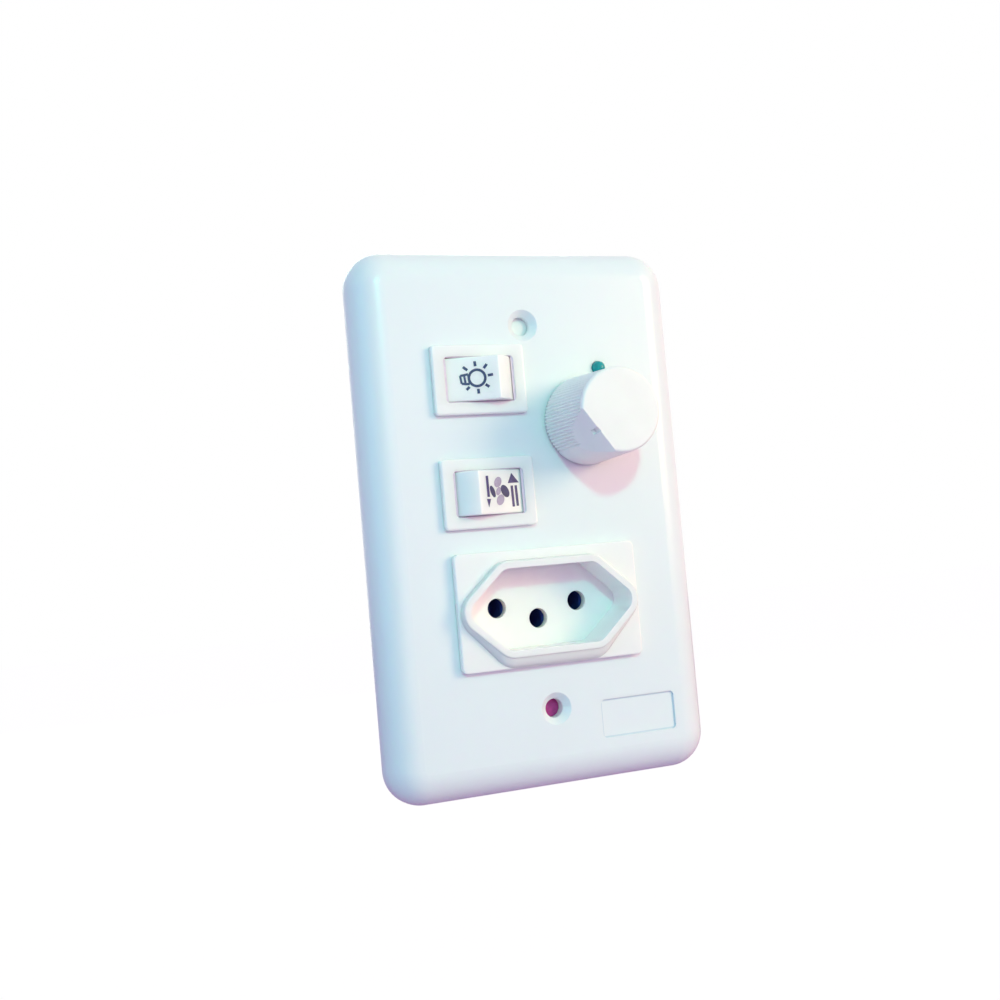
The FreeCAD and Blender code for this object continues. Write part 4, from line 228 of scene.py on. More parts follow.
def blotches(tree, place, size, stretch=(1, 1, 1), detail=2.0):
    """A noise with blotches about size millimetres across, longer where stretched."""
    scaled = add_node(tree, "ShaderNodeMapping")
    scaled.inputs["Scale"].default_value = [1.0 / (size * part) for part in stretch]
    noise = add_node(tree, "ShaderNodeTexNoise")
    noise.inputs["Scale"].default_value = 1.0
    noise.inputs["Detail"].default_value = detail
    tree.links.new(place, scaled.inputs["Vector"])
    tree.links.new(scaled.outputs["Vector"], noise.inputs["Vector"])
    return noise.outputs["Fac"]


def between(tree, value, low, high):
    """Spread the middle of a noise over the range from low to high."""
    node = add_node(tree, "ShaderNodeMapRange")
    for name, limit in (("From Min", NOISE_LOW), ("From Max", NOISE_HIGH),
                        ("To Min", low), ("To Max", high)):
        node.inputs[name].default_value = limit
    tree.links.new(value, node.inputs["Value"])
    return node.outputs["Result"]


print("noises use", NOISE_LOW, "to", NOISE_HIGH)

# %% [markdown]
# A real surface varies between two near tones. Each tone could get a shader of its own,
# but it is simpler to mix the two colours, or two numbers, and feed the result to one
# shader. The Mix node has other sockets for each kind of data, so a table names them.

# %% Mixing two looks
MIX_SOCKETS = {"RGBA": (6, 7, 2), "FLOAT": (2, 3, 0)}


def set_or_link(tree, socket, value):
    """Give a socket a plain value, or link another node's output to it."""
    if isinstance(value, bpy.types.NodeSocket):
        tree.links.new(value, socket)
    else:
        socket.default_value = value


def mixed(tree, kind, share, first, second):
    """Mix two numbers or two colours by a share from 0 to 1."""
    node = add_node(tree, "ShaderNodeMix", data_type=kind)
    first_input, second_input, output = MIX_SOCKETS[kind]
    set_or_link(tree, node.inputs[0], share)
    set_or_link(tree, node.inputs[first_input], first)
    set_or_link(tree, node.inputs[second_input], second)
    return node.outputs[output]


def shade(colour, factor):
    """A lighter or darker tone of a colour."""
    return tuple(min(part * factor, 1.0) for part in colour) + (1.0,)


def uneven_colour(tree, place, colour, spread, size, stretch=(1, 1, 1)):
    """A colour that drifts by a share of itself to either side."""
    share = between(tree, blotches(tree, place, size, stretch), 0.0, 1.0)
    return mixed(tree, "RGBA", share, shade(colour, 1 - spread), shade(colour, 1 + spread))


print("mixing ready for", sorted(MIX_SOCKETS))

# %% [markdown]
# A component such as a resistor is one solid in the CAD part, but a lacquered body, painted
# bands and bare leads to the eye. It could be cut into pieces, but the joins are only
# changes of finish, so one material picks them by place: it starts with the main look and
# lays further looks inside boxes along the part.

# %% Picking a place
def inside(tree, place, low, high):
    """1 inside a box given in millimetres, 0 outside; None leaves that side open."""
    axes = add_node(tree, "ShaderNodeSeparateXYZ")
    tree.links.new(place, axes.inputs[0])
    share = None
    for axis in range(3):
        for limit, test in ((low[axis], "GREATER_THAN"), (high[axis], "LESS_THAN")):
            if limit is None:
                continue
            step = add_node(tree, "ShaderNodeMath", operation=test)
            tree.links.new(axes.outputs[axis], step.inputs[0])
            step.inputs[1].default_value = limit
            if share is None:
                share = step.outputs[0]
                continue
            both = add_node(tree, "ShaderNodeMath", operation="MULTIPLY")
            tree.links.new(share, both.inputs[0])
            tree.links.new(step.outputs[0], both.inputs[1])
            share = both.outputs[0]
    return share


print("boxes can be picked")

# %% [markdown]
# All the finishes differ only in numbers, so one function makes them. A turned thread is
# too fine to model as ridges, and a wave in the bump gives it, cut off at both ends.

# %% One maker for all the finishes
GLOSS_SIZE = 0.35
PATCH_SIZE = 0.5
THREAD_DEPTH = 0.5


def add_thread(tree, place, skin, pitch, low, high):
    """Ridges of a thread laid over the skin's bump, between two depths."""
    wave = add_node(tree, "ShaderNodeTexWave", bands_direction="Y")
    wave.inputs["Scale"].default_value = 2 * math.pi / (20 * pitch)
    tree.links.new(place, wave.inputs["Vector"])
    cut = add_node(tree, "ShaderNodeMath", operation="MULTIPLY")
    tree.links.new(wave.outputs["Fac"], cut.inputs[0])
    tree.links.new(inside(tree, place, (None, low, None), (None, high, None)), cut.inputs[1])
    ridges = add_node(tree, "ShaderNodeBump")
    ridges.inputs["Distance"].default_value = pitch * THREAD_DEPTH * MM
    tree.links.new(cut.outputs[0], ridges.inputs["Height"])
    tree.links.new(skin.outputs["Normal"], ridges.inputs["Normal"])
    return ridges


def make_finish(name, colour, rough, metal=0.0, spread=0.03, size=12.0, grain=0.35, lift=0.004,
                dullness=0.08, stretch=(1, 1, 1), patches=(), thread=None, sockets=()):
    """colour is linear. size, grain and lift are in mm: the width of the colour's noise, and
    the width and height of the bump. spread and dullness are shares of the colour and the
    roughness to either side. A patch is (low, high, colour, rough, metal)."""
    material = bpy.data.materials.new(name)
    material.use_nodes = True
    tree = material.node_tree
    shader = tree.nodes["Principled BSDF"]
    place = in_millimetres(tree)
    tint = uneven_colour(tree, place, colour, spread, size, stretch)
    gloss_noise = blotches(tree, place, size * GLOSS_SIZE, detail=0.0)
    gloss = between(tree, gloss_noise, rough * (1 - dullness), rough * (1 + dullness))
    metallic = metal
    for low, high, patch_colour, patch_rough, patch_metal in patches:
        share = inside(tree, place, low, high)
        patch_tint = uneven_colour(tree, place, patch_colour, spread, size * PATCH_SIZE)
        tint = mixed(tree, "RGBA", share, tint, patch_tint)
        gloss = mixed(tree, "FLOAT", share, gloss, patch_rough)
        if patch_metal != metal:
            metallic = mixed(tree, "FLOAT", share, metallic, patch_metal)
    set_or_link(tree, shader.inputs["Base Color"], tint)
    set_or_link(tree, shader.inputs["Roughness"], gloss)
    set_or_link(tree, shader.inputs["Metallic"], metallic)
    bump = add_node(tree, "ShaderNodeBump")
    bump.inputs["Distance"].default_value = lift * MM
    tree.links.new(blotches(tree, place, grain, stretch), bump.inputs["Height"])
    if thread:
        bump = add_thread(tree, place, bump, *thread)
    tree.links.new(bump.outputs["Normal"], shader.inputs["Normal"])
    for socket, value in sockets:
        shader.inputs[socket].default_value = value
    return material


finishes = {}
print("one maker for all finishes")

# %% [markdown]
# The plate is a cool white plastic that lets a little light in. Its label recess is so
# shallow that soft light would lose its edges. They could be cut deeper, but the CAD part
# stays as it is, so the finish paints their shade: a darker patch as large as the recess, and
# one in the plate's own white inside it, leave a narrow line of painted shade all round.

# %% White plate
soft_inside = (("Subsurface Weight", 0.35), ("Subsurface Radius", (1.0, 0.80, 1.0)),
               ("Subsurface Scale", 0.0020))
PLATE_WHITE = (0.81, 0.87, 0.885)
PLATE_ROUGH = 0.28
LABEL_MIDDLE = (19.5, -45.3)
LABEL_HALF = (9.0, 4.15)
LABEL_FRONT, LABEL_BACK = -7.99, -7.0
# Painted shade: a darker line round the edges of the label recess.
EDGE_SHADE_WIDTH = 0.36
EDGE_SHADE_TINT = (0.64, 0.74, 0.80)
label_edge_shade = []
for inset, tint in ((0.0, EDGE_SHADE_TINT), (EDGE_SHADE_WIDTH, PLATE_WHITE)):
    edge = [half - inset for half in LABEL_HALF]
    label_edge_shade.append((
        (LABEL_MIDDLE[0] - edge[0], LABEL_FRONT, LABEL_MIDDLE[1] - edge[1]),
        (LABEL_MIDDLE[0] + edge[0], LABEL_BACK, LABEL_MIDDLE[1] + edge[1]),
        tint, PLATE_ROUGH, 0.0))
finishes["plate_plastic"] = make_finish(
    "plate_plastic", PLATE_WHITE, PLATE_ROUGH, spread=0.004, size=26, grain=0.45, lift=0.0012,
    dullness=0.02, patches=label_edge_shade, sockets=soft_inside)
print("label creases", label_edge_shade)

# %% [markdown]
# The modules are a warmer, glossier white than the plate, and let in more light, which
# softens the narrow gaps round the rockers. The knob has a duller skin, and the parts that
# slide and turn inside are an undyed, yellowish plastic. Paint could look the same from
# afar, but only light inside the plastic makes thin walls glow.

# %% White modules and knob
finishes["module_plastic"] = make_finish(
    "module_plastic", (0.955, 0.955, 0.95), 0.25, spread=0.004, size=14, grain=0.4,
    lift=0.0010, dullness=0.02,
    sockets=(("Subsurface Weight", 0.5), ("Subsurface Radius", (1.0, 0.80, 1.0)),
             ("Subsurface Scale", 0.0030)))
finishes["knob_plastic"] = make_finish(
    "knob_plastic", (0.885, 0.895, 0.885), 0.36, spread=0.012, size=6, grain=0.4, lift=0.002,
    sockets=soft_inside)
finishes["rotor_plastic"] = make_finish(
    "rotor_plastic", (0.80, 0.77, 0.68), 0.45, spread=0.04, size=4, grain=0.6)
print("white mouldings", sorted(finishes))

# %% [markdown]
# The back of the socket is a dark navy moulding, a painted shade, so that the pin holes read
# as dark as they do in the photograph. It and the terminal block have the fine sparkle of a
# spark-eroded mould. A wide bump would look like orange peel, so a small grain and a higher
# roughness give it. In front of the board's back face the block turns into its tinned pins.

# %% Dark and coloured mouldings
# Painted shade: the dark navy of the socket's back stands for the dark in the pin holes.
finishes["carrier_plastic"] = make_finish(
    "carrier_plastic", (0.010, 0.024, 0.140), 0.55, spread=0.15, size=5, grain=0.22, lift=0.010)
TIN = (0.62, 0.62, 0.60)
BOARD_BACK = 5.0
finishes["terminal_plastic"] = make_finish(
    "terminal_plastic", (0.05, 0.20, 0.09), 0.42, spread=0.10, size=4, grain=0.25, lift=0.008,
    patches=[((None, None, None), (None, BOARD_BACK, None), TIN, 0.35, 1.0)])
print("dark and coloured mouldings", len(finishes))

# %% [markdown]
# Sheet metal keeps the streaks of the rolls. Scratches could be drawn one by one, but a
# noise drawn out along one direction gives them all. Brass gets darker patches where it
# has tarnished, and the steel is zinc plated, which leaves it slightly blue and cloudy.

# %% Rolled metals
finishes["steel"] = make_finish(
    "steel", (0.56, 0.58, 0.61), 0.34, metal=1.0, spread=0.10, size=2.2, grain=0.12, lift=0.006,
    stretch=(1, 5, 1))
finishes["spring_steel"] = make_finish(
    "spring_steel", (0.50, 0.50, 0.51), 0.28, metal=1.0, spread=0.12, size=1.5, grain=0.1)
finishes["brass"] = make_finish(
    "brass", (0.66, 0.46, 0.17), 0.32, metal=1.0, spread=0.22, size=3.0, grain=0.12, lift=0.006,
    stretch=(1, 6, 1))
finishes["aluminium"] = make_finish(
    "aluminium", (0.72, 0.73, 0.74), 0.36, metal=1.0, spread=0.06, size=3.0, grain=0.10,
    lift=0.008, stretch=(1, 12, 1))
print("rolled metals", len(finishes))

# %% [markdown]
# The socket's contacts are seen only down the pin holes, which are dark blue in the
# photograph. They could be brass like the others, but that would glint, so they are a dull
# dark blue, painted shade for the inside of the holes. The control's bushing is cast zinc with
# a turned thread in front of its flange, and the choke's wire is copper under a clear
# brownish lacquer, the shader's own coat.

# %% Contacts in painted shade, cast zinc and copper
THREAD_PITCH = 0.75
THREAD_TIP = -12.6
FLANGE_FRONT = -6.2
# Painted shade: the contacts' dull dark blue stands for the dark in the pin holes.
finishes["contacts_painted_shade"] = make_finish(
    "contacts_painted_shade", (0.030, 0.070, 0.360), 0.50, spread=0.20, size=2.0, grain=0.12,
    lift=0.006)
finishes["cast_zinc"] = make_finish(
    "cast_zinc", (0.50, 0.50, 0.50), 0.42, metal=1.0, spread=0.12, size=2.5, grain=0.18,
    lift=0.012, thread=(THREAD_PITCH, THREAD_TIP, FLANGE_FRONT))
finishes["copper"] = make_finish(
    "copper", (0.62, 0.20, 0.06), 0.22, metal=1.0, spread=0.16, size=2.0, grain=0.2,
    sockets=(("Coat Weight", 0.7), ("Coat Roughness", 0.08), ("Coat Tint", (1.0, 0.80, 0.55, 1))))
print("all metals", len(finishes))

# %% [markdown]
# The board is brown phenolic paper with fibre flecks, and the wafer of the resistance track
# is a darker sort of it. A photograph of paper could be wrapped on them, but a small noise
# drawn out along the fibres is enough. The choke's core is ferrite under green lacquer,
# with a grain that is a little rough.

# %% Laminates and the core
finishes["board_laminate"] = make_finish(
    "board_laminate", (0.42, 0.235, 0.075), 0.48, spread=0.14, size=1.6, grain=0.3, lift=0.006,
    stretch=(4, 1, 1))
finishes["wafer_laminate"] = make_finish(
    "wafer_laminate", (0.20, 0.085, 0.03), 0.5, spread=0.16, size=1.2, grain=0.25, lift=0.006,
    stretch=(1, 1, 3))
finishes["ferrite"] = make_finish(
    "ferrite", (0.045, 0.17, 0.065), 0.38, spread=0.12, size=1.0, grain=0.25, lift=0.015)
print("laminates", len(finishes))

# %% [markdown]
# The power semiconductor is a tinned tab with a black epoxy block moulded on one side of
# it, and three leads. It could be split where they meet, but the places are plain planes,
# so a patch finds the epoxy from the ends of the CAD piece.

# %% Power semiconductor
TAB_THICK = 1.3
LEAD_LENGTH = 5.1
EPOXY_LENGTH = 9.0
EPOXY_BLACK = (0.022, 0.022, 0.025)


def box_of(name):
    """Lowest and highest corner of a CAD piece in millimetres."""
    low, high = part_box(name)
    return [part / MM for part in low], [part / MM for part in high]


triac_low, triac_high = box_of("triac")
tab_front = triac_high[0] - TAB_THICK
lead_top = triac_low[1] + LEAD_LENGTH
epoxy = ((None, lead_top, None), (tab_front, lead_top + EPOXY_LENGTH, None), EPOXY_BLACK, 0.5, 0.0)
finishes["triac"] = make_finish(
    "triac_epoxy_and_tab", TIN, 0.33, metal=1.0, spread=0.07, size=2.0, grain=0.15, lift=0.006,
    stretch=(1, 4, 1), patches=[epoxy])
print("semiconductor from", triac_low, "to", triac_high)

# %% [markdown]
# Resistors and a diode are a lacquered body between two leads, with painted bands of the
# usual generic kind. The bands could be thin rings of their own, but paint has no
# thickness to speak of, so they are patches too, counted from the body's middle.

# %% Resistors and diode
BAND_WIDTH = 0.5
BAND_STARTS = (-2.1, -1.1, -0.1, 1.5)
RESISTOR_LENGTH = 5.4
DIODE_LENGTH = 3.8
BROWN = (0.10, 0.035, 0.015)
BLACK = (0.012, 0.012, 0.012)
RED = (0.5, 0.03, 0.02)
ORANGE = (0.75, 0.22, 0.03)
YELLOW = (0.75, 0.5, 0.05)
GOLD = (0.45, 0.30, 0.08)
TAN = (0.62, 0.43, 0.22)
DIODE_BLUE = (0.05, 0.16, 0.40)
DIODE_SILVER = (0.6, 0.6, 0.62)


def body_with_bands(name, node, axis, length, body, bands):
    """Leads everywhere, a lacquered body in the middle and thin bands on it."""
    low, high = box_of(node)
    middle = (low[axis] + high[axis]) / 2

    def slab(start, end):
        ends = [[None] * 3, [None] * 3]
        ends[0][axis], ends[1][axis] = middle + start, middle + end
        return ends

    patches = [(*slab(-length / 2, length / 2), body, 0.32, 0.0)]
    for start, colour in bands:
        patches.append((*slab(start, start + BAND_WIDTH), colour, 0.34, 0.0))
    print(name, "middle", round(middle, 2))
    return make_finish(name, TIN, 0.3, metal=1.0, spread=0.05, size=1.5, patches=patches)


finishes["gate_resistors"] = body_with_bands(
    "gate_resistor_lacquer", "gate_resistors", 2, RESISTOR_LENGTH, TAN,
    zip(BAND_STARTS, (RED, RED, ORANGE, GOLD)))
finishes["lamp_resistor"] = body_with_bands(
    "lamp_resistor_lacquer", "lamp_resistor", 0, RESISTOR_LENGTH, TAN,
    zip(BAND_STARTS, (BROWN, BLACK, YELLOW, GOLD)))
finishes["trigger_diode"] = body_with_bands(
    "diode_glass", "trigger_diode", 0, DIODE_LENGTH, DIODE_BLUE,
    [(-BAND_WIDTH / 2, DIODE_SILVER)])

# %% [markdown]
# The capacitors are a potted yellow box and one dipped in lacquer, which dries a little
# lumpy. In front of the board's back face both turn into tinned leads. Leads of their own
# would do as well, but the CAD pieces have them already, so it is again a patch.

# %% Capacitors
leads_below = [((None, None, None), (None, BOARD_BACK, None), TIN, 0.32, 1.0)]
finishes["capacitor_case"] = make_finish(
    "capacitor_case", (0.70, 0.44, 0.03), 0.30, spread=0.05, size=4, grain=0.5, patches=leads_below)
finishes["capacitor_dip"] = make_finish(
    "capacitor_dip", (0.34, 0.045, 0.02), 0.24, spread=0.10, size=3, grain=1.6, lift=0.05,
    patches=leads_below)
print("capacitors done")

# %% [markdown]
# The pilot lamp is a clear tinted dome. Full glass would show mostly the dark hole behind
# it, while the real one glows with the light that its cup throws back, so it is a tinted
# plastic that is part clear, part cloudy.

# %% Lamp lens
finishes["lens_plastic"] = make_finish(
    "lens_plastic", (0.0, 0.37, 0.40), 0.14, spread=0.10, size=1.2, grain=0.8, lift=0.004,
    sockets=(("Transmission Weight", 0.22), ("IOR", 1.45), ("Specular IOR Level", 0.35),
             ("Subsurface Weight", 0.3), ("Subsurface Radius", (0.1, 1.0, 1.0)),
             ("Subsurface Scale", 0.001)))
print("lens done")

# %% [markdown]
# Each CAD piece now gets its finish. The slots in the record could name it, but pieces that
# share a slot don't always look alike, so a plain list says which pieces share a finish.

# %% Give the CAD pieces their finishes
OWN_FINISH = ("triac", "gate_resistors", "lamp_resistor", "trigger_diode")
PIECES_BY_FINISH = {
    "plate_plastic": ["face_plate"],
    "knob_plastic": ["speed_knob"],
    "carrier_plastic": ["socket_contact_carrier"],
    "lens_plastic": ["pilot_lamp"],
    "terminal_plastic": ["terminal_block"],
    "board_laminate": ["circuit_board"],
    "wafer_laminate": ["control_track"],
    "ferrite": ["choke_core"],
    "copper": ["choke_winding"],
    "aluminium": ["heat_sink"],
    "cast_zinc": ["control_bushing"],
    "capacitor_case": ["filter_capacitor"],
    "capacitor_dip": ["timing_capacitor"],
    "module_plastic": ["socket_front", "light_switch_housing", "reverse_switch_housing",
                       "light_switch_rocker", "reverse_switch_rocker"],
    "rotor_plastic": ["control_shaft", "light_switch_plunger", "reverse_switch_plunger"],
    "spring_steel": ["control_wiper", "light_switch_spring", "reverse_switch_spring"],
    "contacts_painted_shade": ["socket_neutral_contact", "socket_earth_contact", "socket_line_contact"],
    "brass": ["light_switch_lever", "light_switch_common_terminal", "light_switch_right_terminal",
              "reverse_switch_lever", "reverse_switch_common_terminal",
              "reverse_switch_right_terminal", "reverse_switch_left_terminal"],
    "steel": ["socket_clamp_screws", "socket_cover_screws", "control_can", "control_pins",
              "bushing_nut", "bushing_washer", "pilot_lamp_leads", "heat_sink_screw",
              "board_screws", "terminal_block_screws"],
}
for own in OWN_FINISH:
    PIECES_BY_FINISH[own] = [own]
finished = set()
for finish_name, names in PIECES_BY_FINISH.items():
    for name in names:
        nodes[name].data.materials.clear()
        nodes[name].data.materials.append(finishes[finish_name])
        finished.add(name)
print("without a finish:", sorted(set(nodes) - finished))

# %% [markdown]
# New pieces are made in millimetres in a bmesh, the way a maker measures them, and go to
# metres at the very end. Objects could be placed and turned instead, but these stay at the
# origin, like the CAD pieces, so that a finish has the same scale on all of them.

# %% Helpers for new pieces
def turn_verts(form, verts, degrees, axis):
    """Turn vertices about an axis through the origin."""
    matrix = Matrix.Rotation(math.radians(degrees), 3, axis)
    bmesh.ops.rotate(form, verts=verts, cent=(0, 0, 0), matrix=matrix)


def finish_piece(form, name, body, finish, corner=40.0, outward=True):
    """Turn a bmesh in millimetres into a piece that rides on a body."""
    if outward:
        bmesh.ops.recalc_face_normals(form, faces=form.faces)
    bmesh.ops.scale(form, verts=form.verts, vec=(MM, MM, MM))
    mesh = bpy.data.meshes.new(name)
    form.to_mesh(mesh)
    form.free()
    mesh.shade_smooth()
    mesh.set_sharp_from_angle(angle=math.radians(corner))
    piece = bpy.data.objects.new(name, mesh)
    bpy.context.scene.collection.objects.link(piece)
    mesh.materials.append(finishes[finish])
    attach(piece, body)
    print(name, len(mesh.polygons), "faces on", body)
    return piece


print("new pieces are made in millimetres")

# %% [markdown]
# The collar round the plug recess stands on a foot that slopes down to the lower edge of
# the base, and shows as a mauve band in the photograph. Its outlines could be curves. Here
# a six-sided face has its corners rounded by a vertex bevel and then loses its middle,
# which keeps them in step with the recess of the CAD part, one wall further out.

# %% Outlines of the collar
SOCKET_MIDDLE = -19.5
COLLAR_WALL = 1.55
RECESS_TIP = 20.2
RECESS_FLAT = 10.6
RECESS_HALF = 8.7
RECESS_ROUND = 3.0
CORNER_STEPS = 8
SLANT_ANGLE = math.atan2(RECESS_HALF, RECESS_TIP - RECESS_FLAT)


def collar_outline(wall, depth, drop=0.0):
    """The recess outline moved outwards by a wall, its lower flat lowered by drop."""
    form = bmesh.new()
    radius = RECESS_ROUND + wall
    tip = RECESS_TIP + wall / math.sin(SLANT_ANGLE)
    flat = RECESS_FLAT + wall * math.tan(SLANT_ANGLE / 2)
    half = RECESS_HALF + wall
    foot = -half - drop
    corners = [(tip, 0), (flat, half), (-flat, half), (-tip, 0), (-flat, foot), (flat, foot)]
    verts = [form.verts.new((x, depth, SOCKET_MIDDLE + z)) for x, z in corners]
    form.faces.new(verts)
    tips, flat_ends = (0, 3), (1, 2, 4, 5)
    for group, length in ((tips, radius / math.tan(SLANT_ANGLE)),
                          (flat_ends, radius * math.tan(SLANT_ANGLE / 2))):
        bmesh.ops.bevel(form, geom=[verts[index] for index in group], affect="VERTICES",
                        offset=length, segments=CORNER_STEPS, profile=0.5, material=-1)
    bmesh.ops.delete(form, geom=list(form.faces), context="FACES_ONLY")
    return form


print("slant of the collar's ends", round(math.degrees(SLANT_ANGLE), 1), "degrees")

# %% [markdown]
# Six outlines give the foot its rounded slope. Each is a little wider than the one in front
# of it, and its lower side lies lower. A loft could join them. Bridging each one with the
# next does the same, and two more inside the collar, out of sight, close the ring. They
# are bridged in one fixed order, because another order can lay faces over the recess.

# %% Sloping foot of the collar
COLLAR_SIDE_TOP = -11.14
BASE_FRONT = -9.8
SUNK = 0.02
FOOT_BACK = BASE_FRONT + SUNK
SLOPE = [(0.03, COLLAR_SIDE_TOP, 0.0), (0.05, -11.02, 0.45), (0.08, -10.80, 0.95),
         (0.12, -10.45, 1.45), (0.16, -10.10, 1.75), (0.20, FOOT_BACK, 1.88)]
HIDDEN_INSET = 0.3
HIDDEN_DEPTH = 0.2
HIDDEN_WALL = COLLAR_WALL - HIDDEN_INSET
HIDDEN_TOP = COLLAR_SIDE_TOP + HIDDEN_DEPTH


def add_form(target, source):
    """Copy one bmesh into another and return the edges that came with it."""
    known = len(target.edges)
    carrier = bpy.data.meshes.new("carrier")
    source.to_mesh(carrier)
    source.free()
    target.from_mesh(carrier)
    bpy.data.meshes.remove(carrier)
    target.edges.ensure_lookup_table()
    return target.edges[known:]


levels = [collar_outline(COLLAR_WALL + more, depth, drop) for more, depth, drop in SLOPE]
levels.append(collar_outline(HIDDEN_WALL, FOOT_BACK))
levels.append(collar_outline(HIDDEN_WALL, HIDDEN_TOP))
collar_foot = bmesh.new()
rims = [add_form(collar_foot, level) for level in levels]
for first, second in zip(rims, rims[1:] + rims[:1]):
    bmesh.ops.bridge_loops(collar_foot, edges=first + second)
finish_piece(collar_foot, "collar_foot", "control", "module_plastic", corner=35.0)

# %% [markdown]
# The gaps round the rockers are soft mauve lines in the photograph, not black ones, so a
# mauve sheet a little way in paints their shade. Each bezel gets it as a thin lip inside its
# opening. A flat sheet is inset, loses its middle and is pulled to a thickness, and the lip
# stays a hair's breadth clear of the turning rocker. Four bars would do too, but would meet
# at seams.

# %% Lips of painted gap shade inside the bezels
SWITCH_X = -11.5
SWITCH_HEIGHTS = {"light": 29.9, "reverse": 5.6}
LIP_FRONT = -9.25
LIP_THICK = 0.2
LIP_OUTER = (8.05, 5.0)
LIP_INNER = (7.44, 4.77)
FIRST_INSET = 0.1
# Painted shade: the mauve colour of the lips stands for the shade in the gaps.
finishes["gap_shade_paint"] = make_finish(
    "gap_shade_paint", (0.72, 0.61, 0.74), 0.55, spread=0.06, size=2.0, grain=0.15, lift=0.004)
for switch, height in SWITCH_HEIGHTS.items():
    lip = bmesh.new()
    bmesh.ops.create_grid(lip, x_segments=1, y_segments=1, size=1.0)
    bmesh.ops.scale(lip, verts=lip.verts, vec=(*LIP_OUTER, 1))
    middle = lip.faces[:]
    bmesh.ops.inset_region(lip, faces=middle, thickness=FIRST_INSET, use_boundary=True)
    for vertex in middle[0].verts:
        vertex.co.x = math.copysign(LIP_INNER[0], vertex.co.x)
        vertex.co.y = math.copysign(LIP_INNER[1], vertex.co.y)
    bmesh.ops.delete(lip, geom=middle, context="FACES_ONLY")
    pulled = bmesh.ops.extrude_face_region(lip, geom=lip.faces[:])["geom"]
    raised = [item for item in pulled if isinstance(item, bmesh.types.BMVert)]
    bmesh.ops.translate(lip, verts=raised, vec=(0, 0, LIP_THICK))
    turn_verts(lip, lip.verts, -90, "X")
    bmesh.ops.translate(lip, verts=lip.verts, vec=(SWITCH_X, LIP_FRONT, height))
    finish_piece(lip, f"{switch}_gap_shade_lip", "control", "gap_shade_paint")

# %% [markdown]
# Both fixing holes are closed inside by a thin disc, which holds the screw until the plate
# is put up. The photograph shows the upper one pale and the lower one dark red; the lower
# disc's dark red is painted shade for the dark down that hole. They could be part of the
# plate, but as pieces of their own they keep their own finish.

# %% Discs in the fixing holes
HOLE_HEIGHT = 41.65
HOLE_RADIUS = 2.03
DISC_THICK = 0.4
DISC_ROUNDING = 0.08
SHARP_EDGE = 1.0
DISCS = (("upper_hole_disc", HOLE_HEIGHT, -5.4, "plate_plastic"),
         ("lower_hole_shade_disc", -HOLE_HEIGHT, -4.4, "hole_shade_red"))


def add_rod(form, start, end, radius, segments=12):
    """A capped round bar between two points."""
    start, end = Vector(start), Vector(end)
    made = bmesh.ops.create_cone(form, cap_ends=True, cap_tris=False, segments=segments,
                                 radius1=radius, radius2=radius, depth=(end - start).length)
    matrix = (end - start).to_track_quat("Z", "Y").to_matrix()
    bmesh.ops.rotate(form, verts=made["verts"], cent=(0, 0, 0), matrix=matrix)
    bmesh.ops.translate(form, verts=made["verts"], vec=(start + end) / 2)


# Painted shade: the dark red of the lower disc stands for the dark inside its hole.
finishes["hole_shade_red"] = make_finish(
    "hole_shade_red", (0.42, 0.035, 0.22), 0.6, spread=0.15, size=0.8, grain=0.12, lift=0.01)
for name, height, depth, finish in DISCS:
    disc = bmesh.new()
    add_rod(disc, (0, depth, height), (0, depth + DISC_THICK, height), HOLE_RADIUS, segments=40)
    disc_rims = [edge for edge in disc.edges if edge.calc_face_angle(0) > SHARP_EDGE]
    bmesh.ops.bevel(disc, geom=disc_rims, affect="EDGES", offset=DISC_ROUNDING, segments=2,
                    profile=0.5, material=-1)
    finish_piece(disc, name, "control", finish)

# %% [markdown]
# The signs are printed on the hollow faces of the rockers. Text or curves could draw them,
# but strips, rings and blades made from a few vertices can be laid a hair's breadth above
# the hollow, vertex by vertex, and then turned with the rocker to its place.

# %% Ink and the face of a rocker
finishes["sign_ink"] = make_finish(
    "sign_ink", (0.024, 0.028, 0.120), 0.42, spread=0.25, size=0.5, grain=0.15, lift=0.003)
finishes["pale_ink"] = make_finish(
    "pale_ink", (0.42, 0.36, 0.50), 0.42, spread=0.10, size=0.6, grain=0.15, lift=0.003)
finishes["bar_ink"] = make_finish(
    "bar_ink", (0.050, 0.040, 0.165), 0.42, spread=0.25, size=0.5, grain=0.15, lift=0.003)
HOLLOW_BOTTOM = 6.138
HOLLOW_RADIUS = 46.9
INK = 0.02
ROCKER_TILT = 18.7
PIVOT_DEPTH = -4.5
PIVOTS = {"light_rocker": (Vector((SWITCH_X, PIVOT_DEPTH, SWITCH_HEIGHTS["light"])), -ROCKER_TILT),
          "reverse_rocker": (Vector((SWITCH_X, PIVOT_DEPTH, SWITCH_HEIGHTS["reverse"])), ROCKER_TILT)}


def lay_on_rocker(form, name, rocker, finish):
    """Flat shapes drawn in x and y go onto the hollow face, facing the room."""
    turn_verts(form, form.verts, 90, "X")
    for vertex in form.verts:
        vertex.co.y = -(HOLLOW_BOTTOM + vertex.co.x ** 2 / (2 * HOLLOW_RADIUS) + INK)
    pivot, tilt = PIVOTS[rocker]
    turn_verts(form, form.verts, tilt, "Z")
    bmesh.ops.translate(form, verts=form.verts, vec=pivot)
    form.normal_update()
    backwards = [face for face in form.faces if face.normal.y > 0]
    bmesh.ops.reverse_faces(form, faces=backwards)
    return finish_piece(form, name, rocker, finish, outward=False)


print("rocker faces at", PIVOTS)

# %% [markdown]
# A printed sign needs only a few simple shapes. Each starts as one of Blender's own grids
# or circles. A strip is cut into short lengths, so that it can follow the hollow.

# %% Strips, discs and rings
STRIP_STEP = 0.4
RING_SEGMENTS = 40


